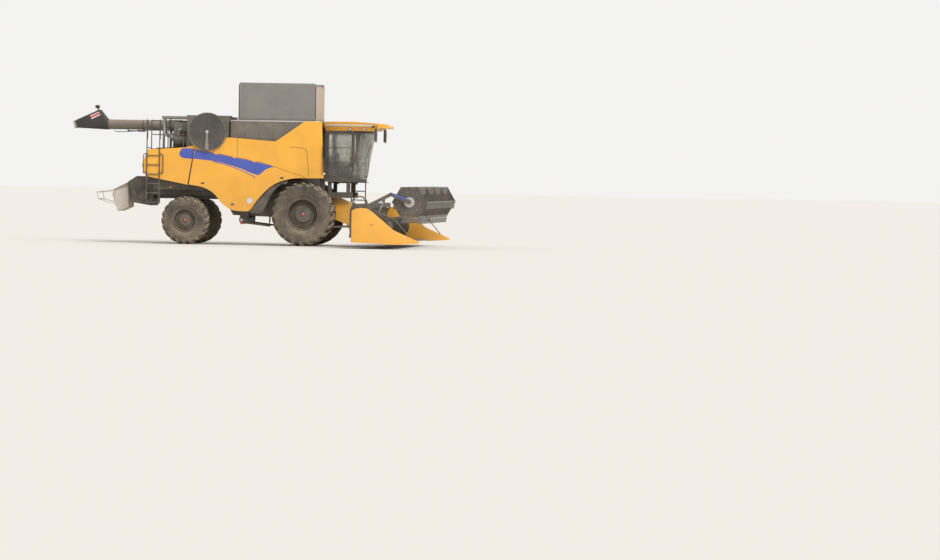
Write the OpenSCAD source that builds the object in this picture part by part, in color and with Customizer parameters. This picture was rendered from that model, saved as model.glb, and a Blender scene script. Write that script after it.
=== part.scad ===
// Combine harvester with a rigid grain header, seen as it stands parked.
// Lengths are millimetres. Inside each module x is measured forwards from the front axle,
// y to the left and z up from the ground; place() then moves the lot to the middle of its length.

/* [Overall] */
// Distance between the front and rear axles
wheelbase = 3790; // [3600:10:3900]
// Front axle ahead of the middle of the whole machine's length
axle_x = 1750; // [1500:10:2000]
// Running gap between a pin or shaft and its bore
pin_gap = 0.3; // [0.2:0.1:0.5]
// Gap between panels that meet
seam = 6; // [4:1:10]

/* [Front wheels] */
// Radius over the lugs
front_r = 1020; // [980:5:1040]
// Width over the sidewalls
front_w = 800; // [700:10:800]
// Middle of the wheel from the centre line
front_y = 1350; // [1340:5:1400]
// Radius of the bead seat
front_bead = 483; // [450:1:520]
// Number of lugs on each side
front_lugs = 22; // [18:1:22]

/* [Rear wheels] */
// Radius over the lugs
rear_r = 767; // [720:1:780]
// Width over the sidewalls
rear_w = 600; // [500:10:620]
// Middle of the wheel from the centre line
rear_y = 1450; // [1440:5:1500]
// Radius of the bead seat
rear_bead = 356; // [340:1:380]
// Number of lugs on each side
rear_lugs = 20; // [16:1:20]
// Kingpin from the centre line
king_y = 1050; // [1040:5:1060]

/* [Tyres and rims] */
// Height of the lugs
lug_h = 55; // [30:1:60]
// Wall of the rims
rim_t = 14; // [10:1:20]

/* [Body] */
// Widest half width of the side panels
side_y = 1560; // [1540:5:1600]
// Height at which the sides are widest
side_z = 2500; // [2400:10:2600]
// Radius of the sides' curve, seen from the front
side_r = 9000; // [8000:100:12000]
// Thickness of the side panels
skin_t = 25; // [15:1:30]
// Half width of the threshing body between the front wheels
body_y = 760; // [700:5:760]
// Half width of the straw hood under the engine deck
hood_y = 1300; // [1200:10:1320]
// Half width of the grain tank
tank_y = 1370; // [1300:10:1380]
// Wall of the grain tank
tank_t = 15; // [10:1:20]
// Height of the grain tank's top
tank_z = 3990; // [3900:10:4050]
// Height of the engine deck
deck_z = 3000; // [2950:10:3020]

/* [Tank covers] */
// Height of a side cover as it stands open
cover_h = 1165; // [1100:5:1170]
// Height of the front and rear flaps as they stand open
flap_h = 1120; // [1050:5:1130]
// Thickness of covers and flaps
cover_t = 14; // [10:1:20]

/* [Cab] */
// Half width of the cab
cab_y = 950; // [900:10:960]
// Height of the cab floor's underside
cab_z = 2070; // [2050:10:2100]
// Height of the cab's walls
cab_h = 1640; // [1600:10:1680]
// Width of the cab's posts and rails
post = 55; // [45:1:70]

/* [Unloading auger] */
// Outer radius of the tube
spout_tube_r = 160; // [140:5:165]
// Distance of tube and pivot from the centre line
spout_y = 1590; // [1585:1:1600]
// Height of the tube's axis
spout_z = 3820; // [3800:5:3850]
// Pivot ahead of the front axle
spout_x = 200; // [150:10:250]
// Length from the pivot to the end of the tube
spout_len = 7000; // [6600:50:7100]

/* [Header] */
// Width over the end sheets
header_w = 10700; // [9600:100:10700]
// Radius of the auger's tube
auger_tube_r = 200; // [180:5:220]
// Radius over the auger's flights
auger_r = 325; // [300:5:330]
// Pitch of the flights
auger_pitch = 560; // [480:10:640]
// Pitch of the knife guards
guard_pitch = 76.2; // [76:0.1:80]

/* [Reel] */
// Radius from the reel's axis to a bat
reel_r = 520; // [480:5:540]
// Number of bats
bats = 6; // [6]
// Length of the tines under a bat
tine_l = 210; // [150:5:240]
// Pitch of the tines
tine_pitch = 150; // [120:5:200]

/* [Hidden] */
$fn = 48;

// Side view points, x forwards and z up
crease = [[-3810, 3100], [-1350, 2650], [130, 2170]];
rear_x = -wheelbase;
rear_z = rear_r;
front_z = front_r;

// Feeder house
feed_x = 450;
feed_z = 1395;
feed_r = 330;
feed_slope = 20.7;
feed_y = 640;
mouth_x = 1970;

// Header
auger_x = 2450;
auger_z = 620;
end_t = 40;
arm_x = 2450;
arm_z = 1330;
reel_x = 3750;
reel_z = 1480;
reel_y = header_w / 2 - 230;
arm_y = header_w / 2 - 120;

// Lift cylinders: pins in side view, and their line in y
lift_a = [250, 620];
lift_b = [1350, 640];
lift_y = 440;
lift_r = 48;
eye_half = 52;

// Reel cylinders
cyl_a = [2650, 800];
cyl_b = [2950, 1450];
cyl_y = arm_y + 56;

// Chassis rails and the top of the front axle
rail_y0 = 765;
rail_y1 = 865;
rail_z0 = 1560;
rail_z1 = 1740;
axle_top = 1160;
hood_x = -2650;

// Hinge lines of the tank covers
cover_x0 = -2150;
cover_x1 = 290;
cover_y = 1190;
cover_z = tank_z + 50;
flap_x0 = cover_x0 - 27;
flap_x1 = cover_x1 + 27;
flap_z = tank_z + 20;
hinge_r = 10;

// Top of the unloading auger's riser
riser_z = spout_z - 200;

// Cab roof and the lamps in its front edge
roof_z = cab_z + cab_h;
lamp_y = [-800, -400, 400, 800];

// Hinges of the cab door
door_x = 686;
door_y = cab_y + 8;
door_hinges = [2500, 3400];

// Side panels' hinge line, its slope and the places of its knuckles along it
panel_hinge = [-3520, 3046.9];
crease_slope = 10.366;
hinge_at = [700, 1300, 1950];
knuckle_l = 80;

// Dust screen
screen_x = -3120;
screen_z = 3605;
screen_r = 615;

module place() translate([axle_x, 0, 0]) children();

// The shape itself and its mirror image on the other side
module both_sides() {
  children();
  mirror([0, 1, 0]) children();
}

// Plate with an outline in side view, from y0 to y1
module side_plate(outline, y0, y1)
  translate([0, y1, 0]) rotate([90, 0, 0]) linear_extrude(y1 - y0) polygon(outline);

// Plate with an outline in front view, of y and z, from x0 to x1
module front_plate(outline, x0, x1)
  translate([x0, 0, 0]) rotate([90, 0, 90]) linear_extrude(x1 - x0) polygon(outline);

// Box given by its two corners
module block(a, b) translate(a) cube(b - a);

// Round bar along y
module bar_y(r, x, z, y0, y1) translate([x, y0, z]) rotate([-90, 0, 0]) cylinder(r = r, h = y1 - y0);

// Round bar between two points
module rod(a, b, r) {
  d = b - a;
  flat = norm([d[0], d[1]]);
  translate(a) rotate([0, atan2(flat, d[2]), atan2(d[1], d[0])]) cylinder(r = r, h = norm(d));
}

// Shell of one side, from depth t0 to depth t1 under the outer face, on the right
module side_shell(t0, t1, x0, x1)
  translate([x0, side_r - side_y, side_z]) rotate([0, 90, 0])
    difference() {
      cylinder(r = side_r - t0, h = x1 - x0, $fn = 1440);
      translate([0, 0, -1]) cylinder(r = side_r - t1, h = x1 - x0 + 2, $fn = 1440);
    }

// Part of the right-hand side panelling with the given side view
module panel(outline) intersection() {
  side_plate(outline, -side_y - 20, -side_y + 220);
  side_shell(0, skin_t, -5400, 800);
}

// Frame of a side panel's hinge line on the right: x along it, z square to it in side view
module on_hinge() translate([panel_hinge[0], -side_y - 2, panel_hinge[1]]) rotate([0, crease_slope, 0]) children();

// Knuckles of the hinge line, of the panel if it moves or of the fixed shoulder, grown by g
module knuckles(moves, g) on_hinge() for (s = hinge_at, k = moves ? [0] : [-1, 1]) {
  len = (moves ? knuckle_l : 0.6 * knuckle_l) + 2 * g;
  mid = s + k * (0.8 * knuckle_l + 0.5);
  translate([mid - len / 2, 0, 0]) rotate([0, 90, 0]) cylinder(r = 12 + g, h = len);
  if (g == 0) block([mid - len / 2, -6, moves ? -40 : 0], [mid + len / 2, 25, moves ? 0 : 40]);
}

// Tyre with chevron lugs, its axis along z
module tyre(r, w, bead, lugs) {
  cols = 4 * lugs;
  rise = [0, 0.08, 0.42, 0.5];
  top = [0, 1, 1, 0];
  pitch = 360 / lugs;
  sweep = 0.42 * w / r * 180 / PI;
  bead_r = (bead + pin_gap) / cos(pitch / 4);
  // Each row: y as a share of the half width, radius of the gap, of the lug, lean, half pitch
  rows = [
    [-0.76, bead_r, bead_r, 1, 0.25], [-1, 0.72 * r, 0.72 * r, 1, 0],
    [-0.93, 0.945 * r - lug_h, 0.97 * r, 1, 0], [-0.05, r - lug_h, r, 0, 0],
    [0.05, r - lug_h, r, 0, 0.5], [0.93, 0.945 * r - lug_h, 0.97 * r, 1, 0.5],
    [1, 0.72 * r, 0.72 * r, 1, 0.5], [0.76, bead_r, bead_r, 1, 0.25]];
  n = len(rows);
  points = [for (j = [0:cols - 1], k = rows)
    let (a = (floor(j / 4) + rise[j % 4] + k[4]) * pitch + k[3] * sweep,
         q = k[1] + (k[2] - k[1]) * top[j % 4])
    [q * cos(a), q * sin(a), k[0] * w / 2]];
  faces = [for (j = [0:cols - 1], k = [0:n - 1])
    let (i = (j + 1) % cols, m = (k + 1) % n)
    each [[j * n + k, j * n + m, i * n + m], [j * n + k, i * n + m, i * n + k]]];
  polyhedron(points, faces);
}

// Rim with its dished disc and hub, its axis along z, outer side up
module rim(bead, w, bore, hub) {
  half = 0.38 * w;
  rotate_extrude($fn = 96) polygon([
    [bead, -half - 8], [bead + 18, -half - 8], [bead + 18, -half - 22], [bead - rim_t, -half - 22],
    [bead - rim_t, half * 0.1], [hub + 40, half * 0.3], [bore, half * 0.3], [bore, half * 0.62],
    [hub, half * 0.62], [hub + 20, half * 0.45], [bead - rim_t, half * 0.1 + 40],
    [bead - rim_t, half + 22], [bead + 18, half + 22], [bead + 18, half + 8], [bead, half + 8]]);
}

module wheel_at(x, y, z, side) translate([x, side * y, z]) rotate([-side * 90, 0, 0]) children();

module chassis_frame() color("#3a3a3a") place() {
  both_sides() {
    block([-4950, rail_y0, rail_z0], [1500, rail_y1, rail_z1]);
    block([-130, rail_y0, axle_top], [130, rail_y1, rail_z0]);
    for (x = [700, 1300]) block([x, rail_y0, rail_z1], [x + 120, rail_y1, cab_z]);
  }
  block([-4950, -rail_y0, 1600], [-4890, rail_y0, rail_z1]);
  for (s = [-125, 95]) front_plate([
    [-rail_y1, rail_z0], [-rail_y1, 1450], [-600, 1100], [-150, 640], [150, 640], [600, 1100],
    [rail_y1, 1450], [rail_y1, rail_z0], [rail_y0, rail_z0], [rail_y0, 1448], [-rail_y0, 1448],
    [-rail_y0, rail_z0]],
    rear_x + s, rear_x + s + 30);
  translate([rear_x - 140, 0, rear_z]) rotate([0, 90, 0]) cylinder(r = 50, h = 280);
}

// A pair of lugs with a pin through both, round a cylinder's eye on the line y
module clevis(outline, y, x, z, r) {
  for (s = [-1, 1]) side_plate(outline, y + s * (eye_half + 8) - 6, y + s * (eye_half + 8) + 6);
  bar_y(r, x, z, y - eye_half - 8, y + eye_half + 8);
}

module front_axle() color("#3a3a3a") place() {
  difference() {
    block([-130, -900, 890], [130, 900, axle_top]);
    for (s = [-1, 1]) translate([0, s * 700, 1020]) cube([170, 340, 150], center = true);
  }
  both_sides() {
    wheel_at(0, 900, front_z, 1) cylinder(r = 240, h = front_y - 900 - 120);
    wheel_at(0, front_y - 120, front_z, 1) cylinder(r = 110, h = 300);
    clevis([[60, 890], [60, 570], [270, 570], [300, 620], [270, 670], [130, 890]], lift_y, lift_a[0], lift_a[1], 25);
  }
}

module rear_axle() color("#3a3a3a") place() {
  difference() {
    block([rear_x - 90, -king_y + 60, rear_z - 100], [rear_x + 90, king_y - 60, rear_z + 100]);
    translate([rear_x - 100, 0, rear_z]) rotate([0, 90, 0]) cylinder(r = 50 + pin_gap, h = 200);
    for (s = [-1, 1]) translate([rear_x, s * king_y, rear_z - 101]) cylinder(r = 45 + pin_gap, h = 202);
  }
  both_sides() difference() {
    translate([rear_x, king_y, rear_z - 117]) cylinder(r = 85, h = 234);
    translate([rear_x, king_y, rear_z - 118]) cylinder(r = 45 + pin_gap, h = 236);
    block([rear_x - 90, king_y - 90, rear_z - 100], [rear_x + 90, king_y - 60, rear_z + 100]);
  }
}

module threshing_body() color("#4a4a48") place() difference() {
  union() {
    side_plate([[hood_x, 2300], [hood_x, 1450], [-2350, 950], [-700, 900], [-300, axle_top],
      [430, axle_top], [430, 2300]], -body_y, body_y);
    // Ears that carry the feeder house
    both_sides() side_plate([[420, axle_top], [420, 1700], [490, 1700], [570, 1500], [570, 1290], [490, axle_top]],
      feed_y + 10, body_y);
  }
  bar_y(60 + pin_gap, feed_x, feed_z, -body_y - 1, body_y + 1);
  bar_y(feed_r + 6, feed_x, feed_z, -feed_y - 10, feed_y + 10);
}

module straw_hood() color("#4a4a48") place() {
  block([-4880, -540, 1450], [hood_x, 540, deck_z]);
  both_sides() block([-4880, 540, rail_z1], [hood_x, hood_y, deck_z]);
}

// Side and front views of the grain tank, drawn in by t
function tank_side(t) = [
  [-2400 + t, tank_z + 1], [-2400 + t, 3100], [-1500, 2300 + t], [-100, 2300 + t], [480 - t, 2900],
  [480 - t, tank_z + 1]];
function tank_front(t) = [
  [-tank_y + t, tank_z + 1], [-tank_y + t, 3000], [-500, 2300 + t], [500, 2300 + t],
  [tank_y - t, 3000], [tank_y - t, tank_z + 1]];

module grain_tank() color("#3c3f42") place() {
  difference() {
    intersection() {
      side_plate(tank_side(0), -tank_y, tank_y);
      front_plate(tank_front(0), -2400, 480);
      block([-2400, -tank_y, 2300], [480, tank_y, tank_z]);
    }
    intersection() {
      side_plate(tank_side(tank_t), -tank_y, tank_y);
      front_plate(tank_front(tank_t), -2400, 480);
      block([-2400, -tank_y, 2300], [480, tank_y, tank_z - tank_t]);
    }
    block([cover_x0 + 10, -cover_y + 20, tank_z - 30], [cover_x1 - 10, cover_y - 20, tank_z + 10]);
  }
  // Raised rims that carry the hinges of the covers and flaps
  both_sides() block([cover_x0, -cover_y - 10, tank_z], [cover_x1, -cover_y + 10, cover_z - hinge_r - pin_gap]);
  for (x = [flap_x0, flap_x1]) block([x - 10, -1150, tank_z], [x + 10, 1150, flap_z - hinge_r - pin_gap]);
}

shoulder_r = [
  [-3810, 3100 + seam], [-1350, 2650 + seam], [0, 2214 + seam], [110, 2170],
  [640, 2180], [550, 3990], [0, 3990], [-930, 3330], [-2480, 3440]];
shoulder_l = [
  [-3810, 3100 + seam], [-1350, 2650 + seam], [-60, 2234 + seam], [-60, 3500], [-640, 3500],
  [-930, 3330], [-2480, 3440]];

module shoulder_panels() color("#e8a11a") place() {
  difference() {
    panel(shoulder_r);
    bar_y(screen_r - 40, screen_x, screen_z, -1700, -1400);
    knuckles(true, 2);
  }
  knuckles(false, 0);
  mirror([0, 1, 0]) {
    difference() {
      panel(shoulder_l);
      knuckles(true, 2);
    }
    knuckles(false, 0);
  }
  both_sides() for (x = [-2200, -1300, -500]) block([x, tank_y, 3020], [x + 20, 1515, 3320]);
}

module rear_panels() color("#e8a11a") place() both_sides() {
  mirror([0, 1, 0]) {
    panel([[-5050, 3010], [-5220, 2500], [-5100, 2160], [-3730, 1900], [-3530, 3050], [-3810, 3094]]);
    for (x = [-4800, -4000]) block([x, -1540, 2300], [x + 20, -hood_y, 2900]);
  }
}

module fenders() color("#30343a") place() both_sides() {
  block([-1300, rail_y1, 1600], [-1250, 1410, 1650]);
  fender_side();
}

module fender_side() difference() {
  side_plate([[-1760, 1020], [-1555, 1440], [-1085, 1850], [-450, 2095], [-130, 2145],
    [-110, 2110], [-430, 2060], [-1060, 1815], [-1330, 1020]], 1400, 1480);
  translate([-30, 1300, 1000]) rotate([-90, 0, 0]) cylinder(r = 1190, h = 300, $fn = 360);
}

module engine_deck() color("#34363a") place() difference() {
  block([-4950, -1490, deck_z], [-2420, 1490, deck_z + 40]);
  bar_y(screen_r - 45, screen_x, screen_z, -1500, -1440);
}

module rails_and_ladder() color("#2c2c2c") place() {
  sides = [-1470, 1390];
  for (x = [-4930, -4400, -3900], y = sides) rod([x, y, deck_z + 40], [x, y, 3960], 17);
  for (y = sides, z = [3500, 3960]) rod([-4940, y, z], [-3880, y, z], 17);
  for (z = [3500, 3960]) rod([-4930, sides[0], z], [-4930, sides[1], z], 17);
  for (x = [-5060, -4650]) rod([x, -1590, 1280], [x, -1590, 3100], 17);
  for (z = [1320:300:3000]) rod([-5060, -1590, z], [-4650, -1590, z], 14);
  rod([-4650, -1590, 3080], [-4650, -1470, 3080], 17);
  rod([-4650, -1470, deck_z + 40], [-4650, -1470, 3090], 17);
}

module engine_block() color("#2e2f30") place()
  block([-4350, -550, deck_z + 40], [-2950, 550, deck_z + 900]);

module cooling_box() color("#303234") place() {
  block([-3810, -1440, deck_z + 40], [-2450, -700, 4130]);
  bar_y(screen_r - 50, screen_x, screen_z, -1560, -1440);
  bar_y(30, screen_x, screen_z, -1650, -1560);
}

module dust_screen() color("#3a3c3e") place() difference() {
  bar_y(screen_r, screen_x, screen_z, -1640, -1565);
  bar_y(screen_r - 12, screen_x, screen_z, -1628, -1560);
  bar_y(30 + pin_gap, screen_x, screen_z, -1650, -1560);
}

module air_cleaner() color("#242526") place()
  translate([-4600, -1000, deck_z + 200]) rotate([0, 90, 0]) cylinder(r = 160, h = 500);

module straw_chopper() color("#3a3a3a") place()
  side_plate([[-4950, 2150], [-4950, 1300], [-5030, 1210], [-5600, 1300], [-5780, 1970], [-5500, 2150]],
    -750, 750);

module tail_vanes() color("#d9d6cc") place() {
  side_plate([[-5780, 1970], [-6820, 1620], [-6820, 1600], [-5774, 1940]], -800, 800);
  for (i = [-3:3]) side_plate([[-5776, 1938], [-6815, 1601], [-6150, 1000], [-5640, 1250]],
    i * 240 - 6, i * 240 + 6);
}

module elevators() color("#4a4a48") place() both_sides() block([-1900, body_y, 700], [-1650, 900, 1560]);

module unload_riser() color("#e8a11a") place()
  {
    translate([spout_x, spout_y, 2350]) cylinder(r = 150, h = riser_z - 2350);
    block([spout_x - 110, tank_y, 3000], [spout_x + 110, spout_y, 3240]);
  }

module unload_tube() color("#2c2e30") place() {
  translate([spout_x, spout_y, riser_z + pin_gap]) cylinder(r = 155, h = spout_z - riser_z - pin_gap);
  translate([spout_x, spout_y, spout_z]) sphere(r = spout_tube_r);
  rod([spout_x, spout_y, spout_z], [spout_x - spout_len, spout_y, spout_z], spout_tube_r);
}

module unload_spout() color("#1f2021") place()
  side_plate([[-6800, 3960], [-7100, 4300], [-7890, 3930], [-7820, 3690], [-7180, 3750], [-6800, 3660]],
    spout_y - 160, spout_y + 160);

// Cab body drawn in by t, with its curved front
module cab_core(t) intersection() {
  block([620 + t, -cab_y + t, cab_z + t], [2300, cab_y - t, cab_z + cab_h - t]);
  translate([780, 0, cab_z]) rotate([0, 10, 0]) translate([0, 0, -400])
    cylinder(r = 1060 - t, h = 2600, $fn = 360);
}

module cab_windows() {
  block([700, -1200, 2250], [1480, 1200, 3640]);
  block([1540, -1200, 2250], [1600, 1200, 3640]);
  block([1500, -820, 2150], [2500, 820, 3640]);
  block([500, -780, 2900], [760, 780, 3600]);
}

module cab_frame() color("#2a2c2e") place() {
  difference() {
    cab_core(0);
    cab_core(40);
    cab_windows();
    for (z = door_hinges) translate([door_x, door_y, z - 36]) cylinder(r = 14, h = 72);
  }
  for (z = door_hinges, s = [-35.5, 35.5 - 24]) intersection() {
    translate([door_x, door_y, z + (s < 0 ? -60 : 36)]) cylinder(r = 12, h = 24);
    block([0, cab_y - 20, 0], [2000, 1200, 4000]);
  }
}

module cab_glass() color("#7d8c94") place() intersection() {
  difference() {
    cab_core(10);
    cab_core(18);
  }
  difference() {
    cab_windows();
    block([600, 0, 2000], [1545, 1200, 3700]);
  }
}

module cab_roof() color("#e8a11a") place()
  difference() {
    side_plate([[560, roof_z], [560, 4000], [2180, 3970], [2400, 3850], [2200, roof_z]], -1000, 1000);
    for (y = lamp_y) block([2300, y - 70, 3780], [2450, y + 70, 3845]);
  }

module cab_seat() color("#26282a") place() {
  block([900, -250, cab_z + 40], [1300, 250, 2500]);
  block([850, -250, 2500], [970, 250, 3200]);
}

module steering_console() color("#26282a") place()
  {
    block([1480, -90, cab_z + 40], [1680, 90, cab_z + 160]);
    rod([1590, 0, cab_z + 150], [1480, 0, 2850], 40);
  }

module cab_door() color("#2a2c2e") place() {
  for (z = door_hinges) {
    translate([door_x, door_y, z - 35.5]) cylinder(r = 12, h = 71);
    block([door_x, door_y - 6, z - 30], [door_x + 50, door_y + 6, z + 30]);
    block([door_x + 26, 930, z - 30], [door_x + 50, door_y + 6, z + 30]);
  }
  difference() {
    block([706, 915, 2256], [1474, 945, 3634]);
    block([706 + post, 900, 2256 + post], [1474 - post, 960, 3634 - post]);
  }
}

module door_glass() color("#7d8c94") place()
  block([706 + post, 925, 2256 + post], [1474 - post, 933, 3634 - post]);

module cab_platform() color("#34363a") place() {
  block([560, cab_y, 2050], [1750, 1700, 2070]);
  block([560, rail_y1, 2030], [1480, cab_y + 40, 2050]);
  for (x = [730, 1330]) block([x, rail_y1, 1990], [x + 60, 1690, 2050]);
  for (x = [1180, 1640]) block([x, 1640, 560], [x + 30, 1700, 2050]);
  for (z = [600:290:1900]) block([1210, 1600, z], [1640, 1700, z + 30]);
  for (x = [1180, 1640]) rod([x, 1680, 2070], [x, 1680, 3000], 17);
  rod([1640, 1680, 2970], [1640, 1000, 2970], 14);
}

module mirrors() color("#202020") place() both_sides() {
  block([2110, 1000, 3790], [2190, 1020, 3870]);
  rod([2150, 1012, 3830], [2300, 1500, 3830], 15);
  block([2290, 1380, 3350], [2320, 1580, 3830]);
}

module work_lamps() color("#f0e8c8") place() for (y = lamp_y)
  block([2300, y - 68, 3784], [2380, y + 68, 3841]);

module knuckle() {
  for (z = [rear_z - 147, rear_z + 119]) translate([rear_x, -king_y, z]) cylinder(r = 85, h = 28);
  translate([rear_x, -king_y, rear_z - 147]) cylinder(r = 45, h = 294);
  for (z = [rear_z - 147, rear_z + 119]) block([rear_x - 80, -king_y - 130, z], [rear_x + 80, -king_y, z + 28]);
  block([rear_x - 80, -king_y - 140, rear_z - 147], [rear_x + 80, -king_y - 100, rear_z + 147]);
  bar_y(70, rear_x, rear_z, -rear_y - 120, -king_y - 140);
  block([rear_x - 260, -king_y - 35, rear_z - 147], [rear_x, -king_y + 35, rear_z - 119]);
  translate([rear_x - 260, -king_y, rear_z - 200]) cylinder(r = 20, h = 80);
}

module knuckle_right() color("#3a3a3a") place() knuckle();
module knuckle_left() color("#3a3a3a") place() mirror([0, 1, 0]) knuckle();

module tie_rod() color("#555") place() {
  difference() {
    union() {
      for (s = [-1, 1]) translate([rear_x - 260, s * king_y, rear_z - 198]) cylinder(r = 40, h = 44);
      bar_y(20, rear_x - 260, rear_z - 176, -king_y + 30, king_y - 30);
    }
    for (s = [-1, 1]) translate([rear_x - 260, s * king_y, rear_z - 210]) cylinder(r = 20 + pin_gap, h = 80);
  }
}

module rim_front_right() color("#3c3c3c") place() wheel_at(0, front_y, front_z, -1) rim(front_bead, front_w, 110 + pin_gap, 250);
module rim_front_left() color("#3c3c3c") place() wheel_at(0, front_y, front_z, 1) rim(front_bead, front_w, 110 + pin_gap, 250);
module rim_rear_right() color("#3c3c3c") place() wheel_at(rear_x, rear_y, rear_z, -1) rim(rear_bead, rear_w, 70 + pin_gap, 180);
module rim_rear_left() color("#3c3c3c") place() wheel_at(rear_x, rear_y, rear_z, 1) rim(rear_bead, rear_w, 70 + pin_gap, 180);
module tyre_front_right() color("#262626") place() wheel_at(0, front_y, front_z, -1) tyre(front_r, front_w, front_bead, front_lugs);
module tyre_front_left() color("#262626") place() wheel_at(0, front_y, front_z, 1) mirror([1, 0, 0]) tyre(front_r, front_w, front_bead, front_lugs);
module tyre_rear_right() color("#262626") place() wheel_at(rear_x, rear_y, rear_z, -1) tyre(rear_r, rear_w, rear_bead, rear_lugs);
module tyre_rear_left() color("#262626") place() wheel_at(rear_x, rear_y, rear_z, 1) mirror([1, 0, 0]) tyre(rear_r, rear_w, rear_bead, rear_lugs);

panel_side = [
  [-3520, 3047 - seam], [-1350, 2650 - seam], [0, 2214 - seam], [100, 2172], [-140, 2160], [-460, 2110],
  [-1100, 1860], [-1570, 1440], [-1780, 1005], [-1950, 1018], [-2310, 1070], [-2630, 1260],
  [-3190, 1760], [-3700, 1910]];

module side_panel() {
  difference() {
    panel(panel_side);
    knuckles(false, 2);
  }
  knuckles(true, 0);
}
module side_panel_right() color("#e8a11a") place() side_panel();
module side_panel_left() color("#e8a11a") place() mirror([0, 1, 0]) side_panel();

module cover() {
  block([cover_x0, -cover_y - cover_t / 2, cover_z], [cover_x1, -cover_y + cover_t / 2, cover_z + cover_h]);
  translate([cover_x0, -cover_y, cover_z]) rotate([0, 90, 0]) cylinder(r = hinge_r, h = cover_x1 - cover_x0);
}
module cover_right() color("#3c3f42") place() cover();
module cover_left() color("#3c3f42") place() mirror([0, 1, 0]) cover();

module flap(x) {
  block([x - cover_t / 2, -1150, flap_z], [x + cover_t / 2, 1150, flap_z + flap_h]);
  bar_y(hinge_r, x, flap_z, -1150, 1150);
}
module flap_front() color("#d8cfb4") place() flap(flap_x1);
module flap_rear() color("#d8cfb4") place() flap(flap_x0);

// Outline of the feeder house, drawn in by t
function feeder_at(along, up) = [
  feed_x + along * cos(feed_slope) + up * sin(feed_slope),
  feed_z - along * sin(feed_slope) + up * cos(feed_slope)];
function feeder_cut(up) =
  let (along = (mouth_x - feed_x - up * sin(feed_slope)) / cos(feed_slope)) feeder_at(along, up);

module feeder_shape(t, y) {
  side_plate([feeder_at(0, -feed_r + t), feeder_at(0, feed_r - t), feeder_cut(feed_r - t),
    feeder_cut(-feed_r + t)], -y, y);
  bar_y(feed_r - t, feed_x, feed_z, -y, y);
}

module feeder_house() color("#e8a11a") place() {
  feeder_tunnel();
  bar_y(60, feed_x, feed_z, -body_y, body_y);
  both_sides() clevis([[1290, 740], [1310, 620], [1350, 595], [1390, 620], [1440, 690]],
    lift_y, lift_b[0], lift_b[1], 25);
}

module feeder_tunnel() difference() {
  feeder_shape(0, feed_y);
  difference() {
    feeder_shape(20, feed_y - 20);
    bar_y(60, feed_x, feed_z, -feed_y, feed_y);
  }
  block([mouth_x - 40, -feed_y + 20, 520], [mouth_x + 10, feed_y - 20, 1120]);
}

module header_table() color("#3a3a3c") place() {
  half = header_w / 2 - end_t;
  difference() {
    side_plate([[mouth_x, 420], [mouth_x, 1250], [2015, 1250], [2015, 620], [2030, 480], [2150, 330], [2450, 260],
      [2700, 240], [3300, 200], [3300, 180], [2700, 200], [2450, 220], [2120, 260], [2000, 350]], -half, half);
    block([1900, -feed_y + 20, 520], [2200, feed_y - 20, 1120]);
  }
  block([mouth_x, -half, 1250], [2120, half, 1400]);
}

module header_ends() color("#e8a11a") place() both_sides() {
  side_plate([[1960, 200], [1960, 920], [2250, 1200], [2400, 1340], [2440, 1372], [2500, 1360], [2900, 940],
    [3300, 600], [4100, 250], [4100, 200], [3400, 150]], header_w / 2 - end_t, header_w / 2);
  bar_y(25, arm_x, arm_z, arm_y - 36, header_w / 2 - end_t);
  bar_y(14, cyl_a[0], cyl_a[1], cyl_y - 21, header_w / 2 - end_t);
}

module cutter_bar() color("#8a8a8a") place() {
  n = floor((header_w - 2 * end_t) / guard_pitch);
  y0 = -n * guard_pitch / 2;
  translate([3300, 0, 184]) linear_extrude(12) polygon(concat(
    [[0, -y0], [0, y0]],
    [for (i = [0:n - 1]) let (y = y0 + i * guard_pitch)
      each [[30, y + 0.15 * guard_pitch], [110, y + 0.5 * guard_pitch], [30, y + 0.85 * guard_pitch]]]));
}

// Barrel of a cylinder from pin a towards pin b, in side view on the line y
module barrel(a, b, y, r, bore, pin, half, len) {
  u = (b - a) / norm(b - a);
  difference() {
    union() {
      rod([a[0], y, a[1]], [a[0] + len * u[0], y, a[1] + len * u[1]], r);
      bar_y(pin + 0.4 * r, a[0], a[1], y - half, y + half);
    }
    bar_y(pin + pin_gap, a[0], a[1], y - half - 1, y + half + 1);
    rod([a[0] + 2 * r * u[0], y, a[1] + 2 * r * u[1]], [a[0] + (len + 1) * u[0], y, a[1] + (len + 1) * u[1]],
      bore + pin_gap);
  }
}

// Rod of a cylinder, from a point inside its barrel to its eye round pin b
module ram(a, b, y, r, eye, half, from, play) {
  u = (b - a) / norm(b - a);
  difference() {
    union() {
      rod([a[0] + from * u[0], y, a[1] + from * u[1]], [b[0] - (eye - 4) * u[0], y, b[1] - (eye - 4) * u[1]], r);
      bar_y(eye, b[0], b[1], y - half, y + half);
    }
    bar_y(play, b[0], b[1], y - half - 1, y + half + 1);
  }
}

module lift_barrels() color("#e0e0e0") place() both_sides()
  barrel(lift_a, lift_b, lift_y, lift_r, 30, 25, eye_half - 0.5, 640);

module lift_rods() color("#c0c0c0") place() both_sides()
  ram(lift_a, lift_b, lift_y, 30, 48, eye_half - 0.5, 400, 30.5);

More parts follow.
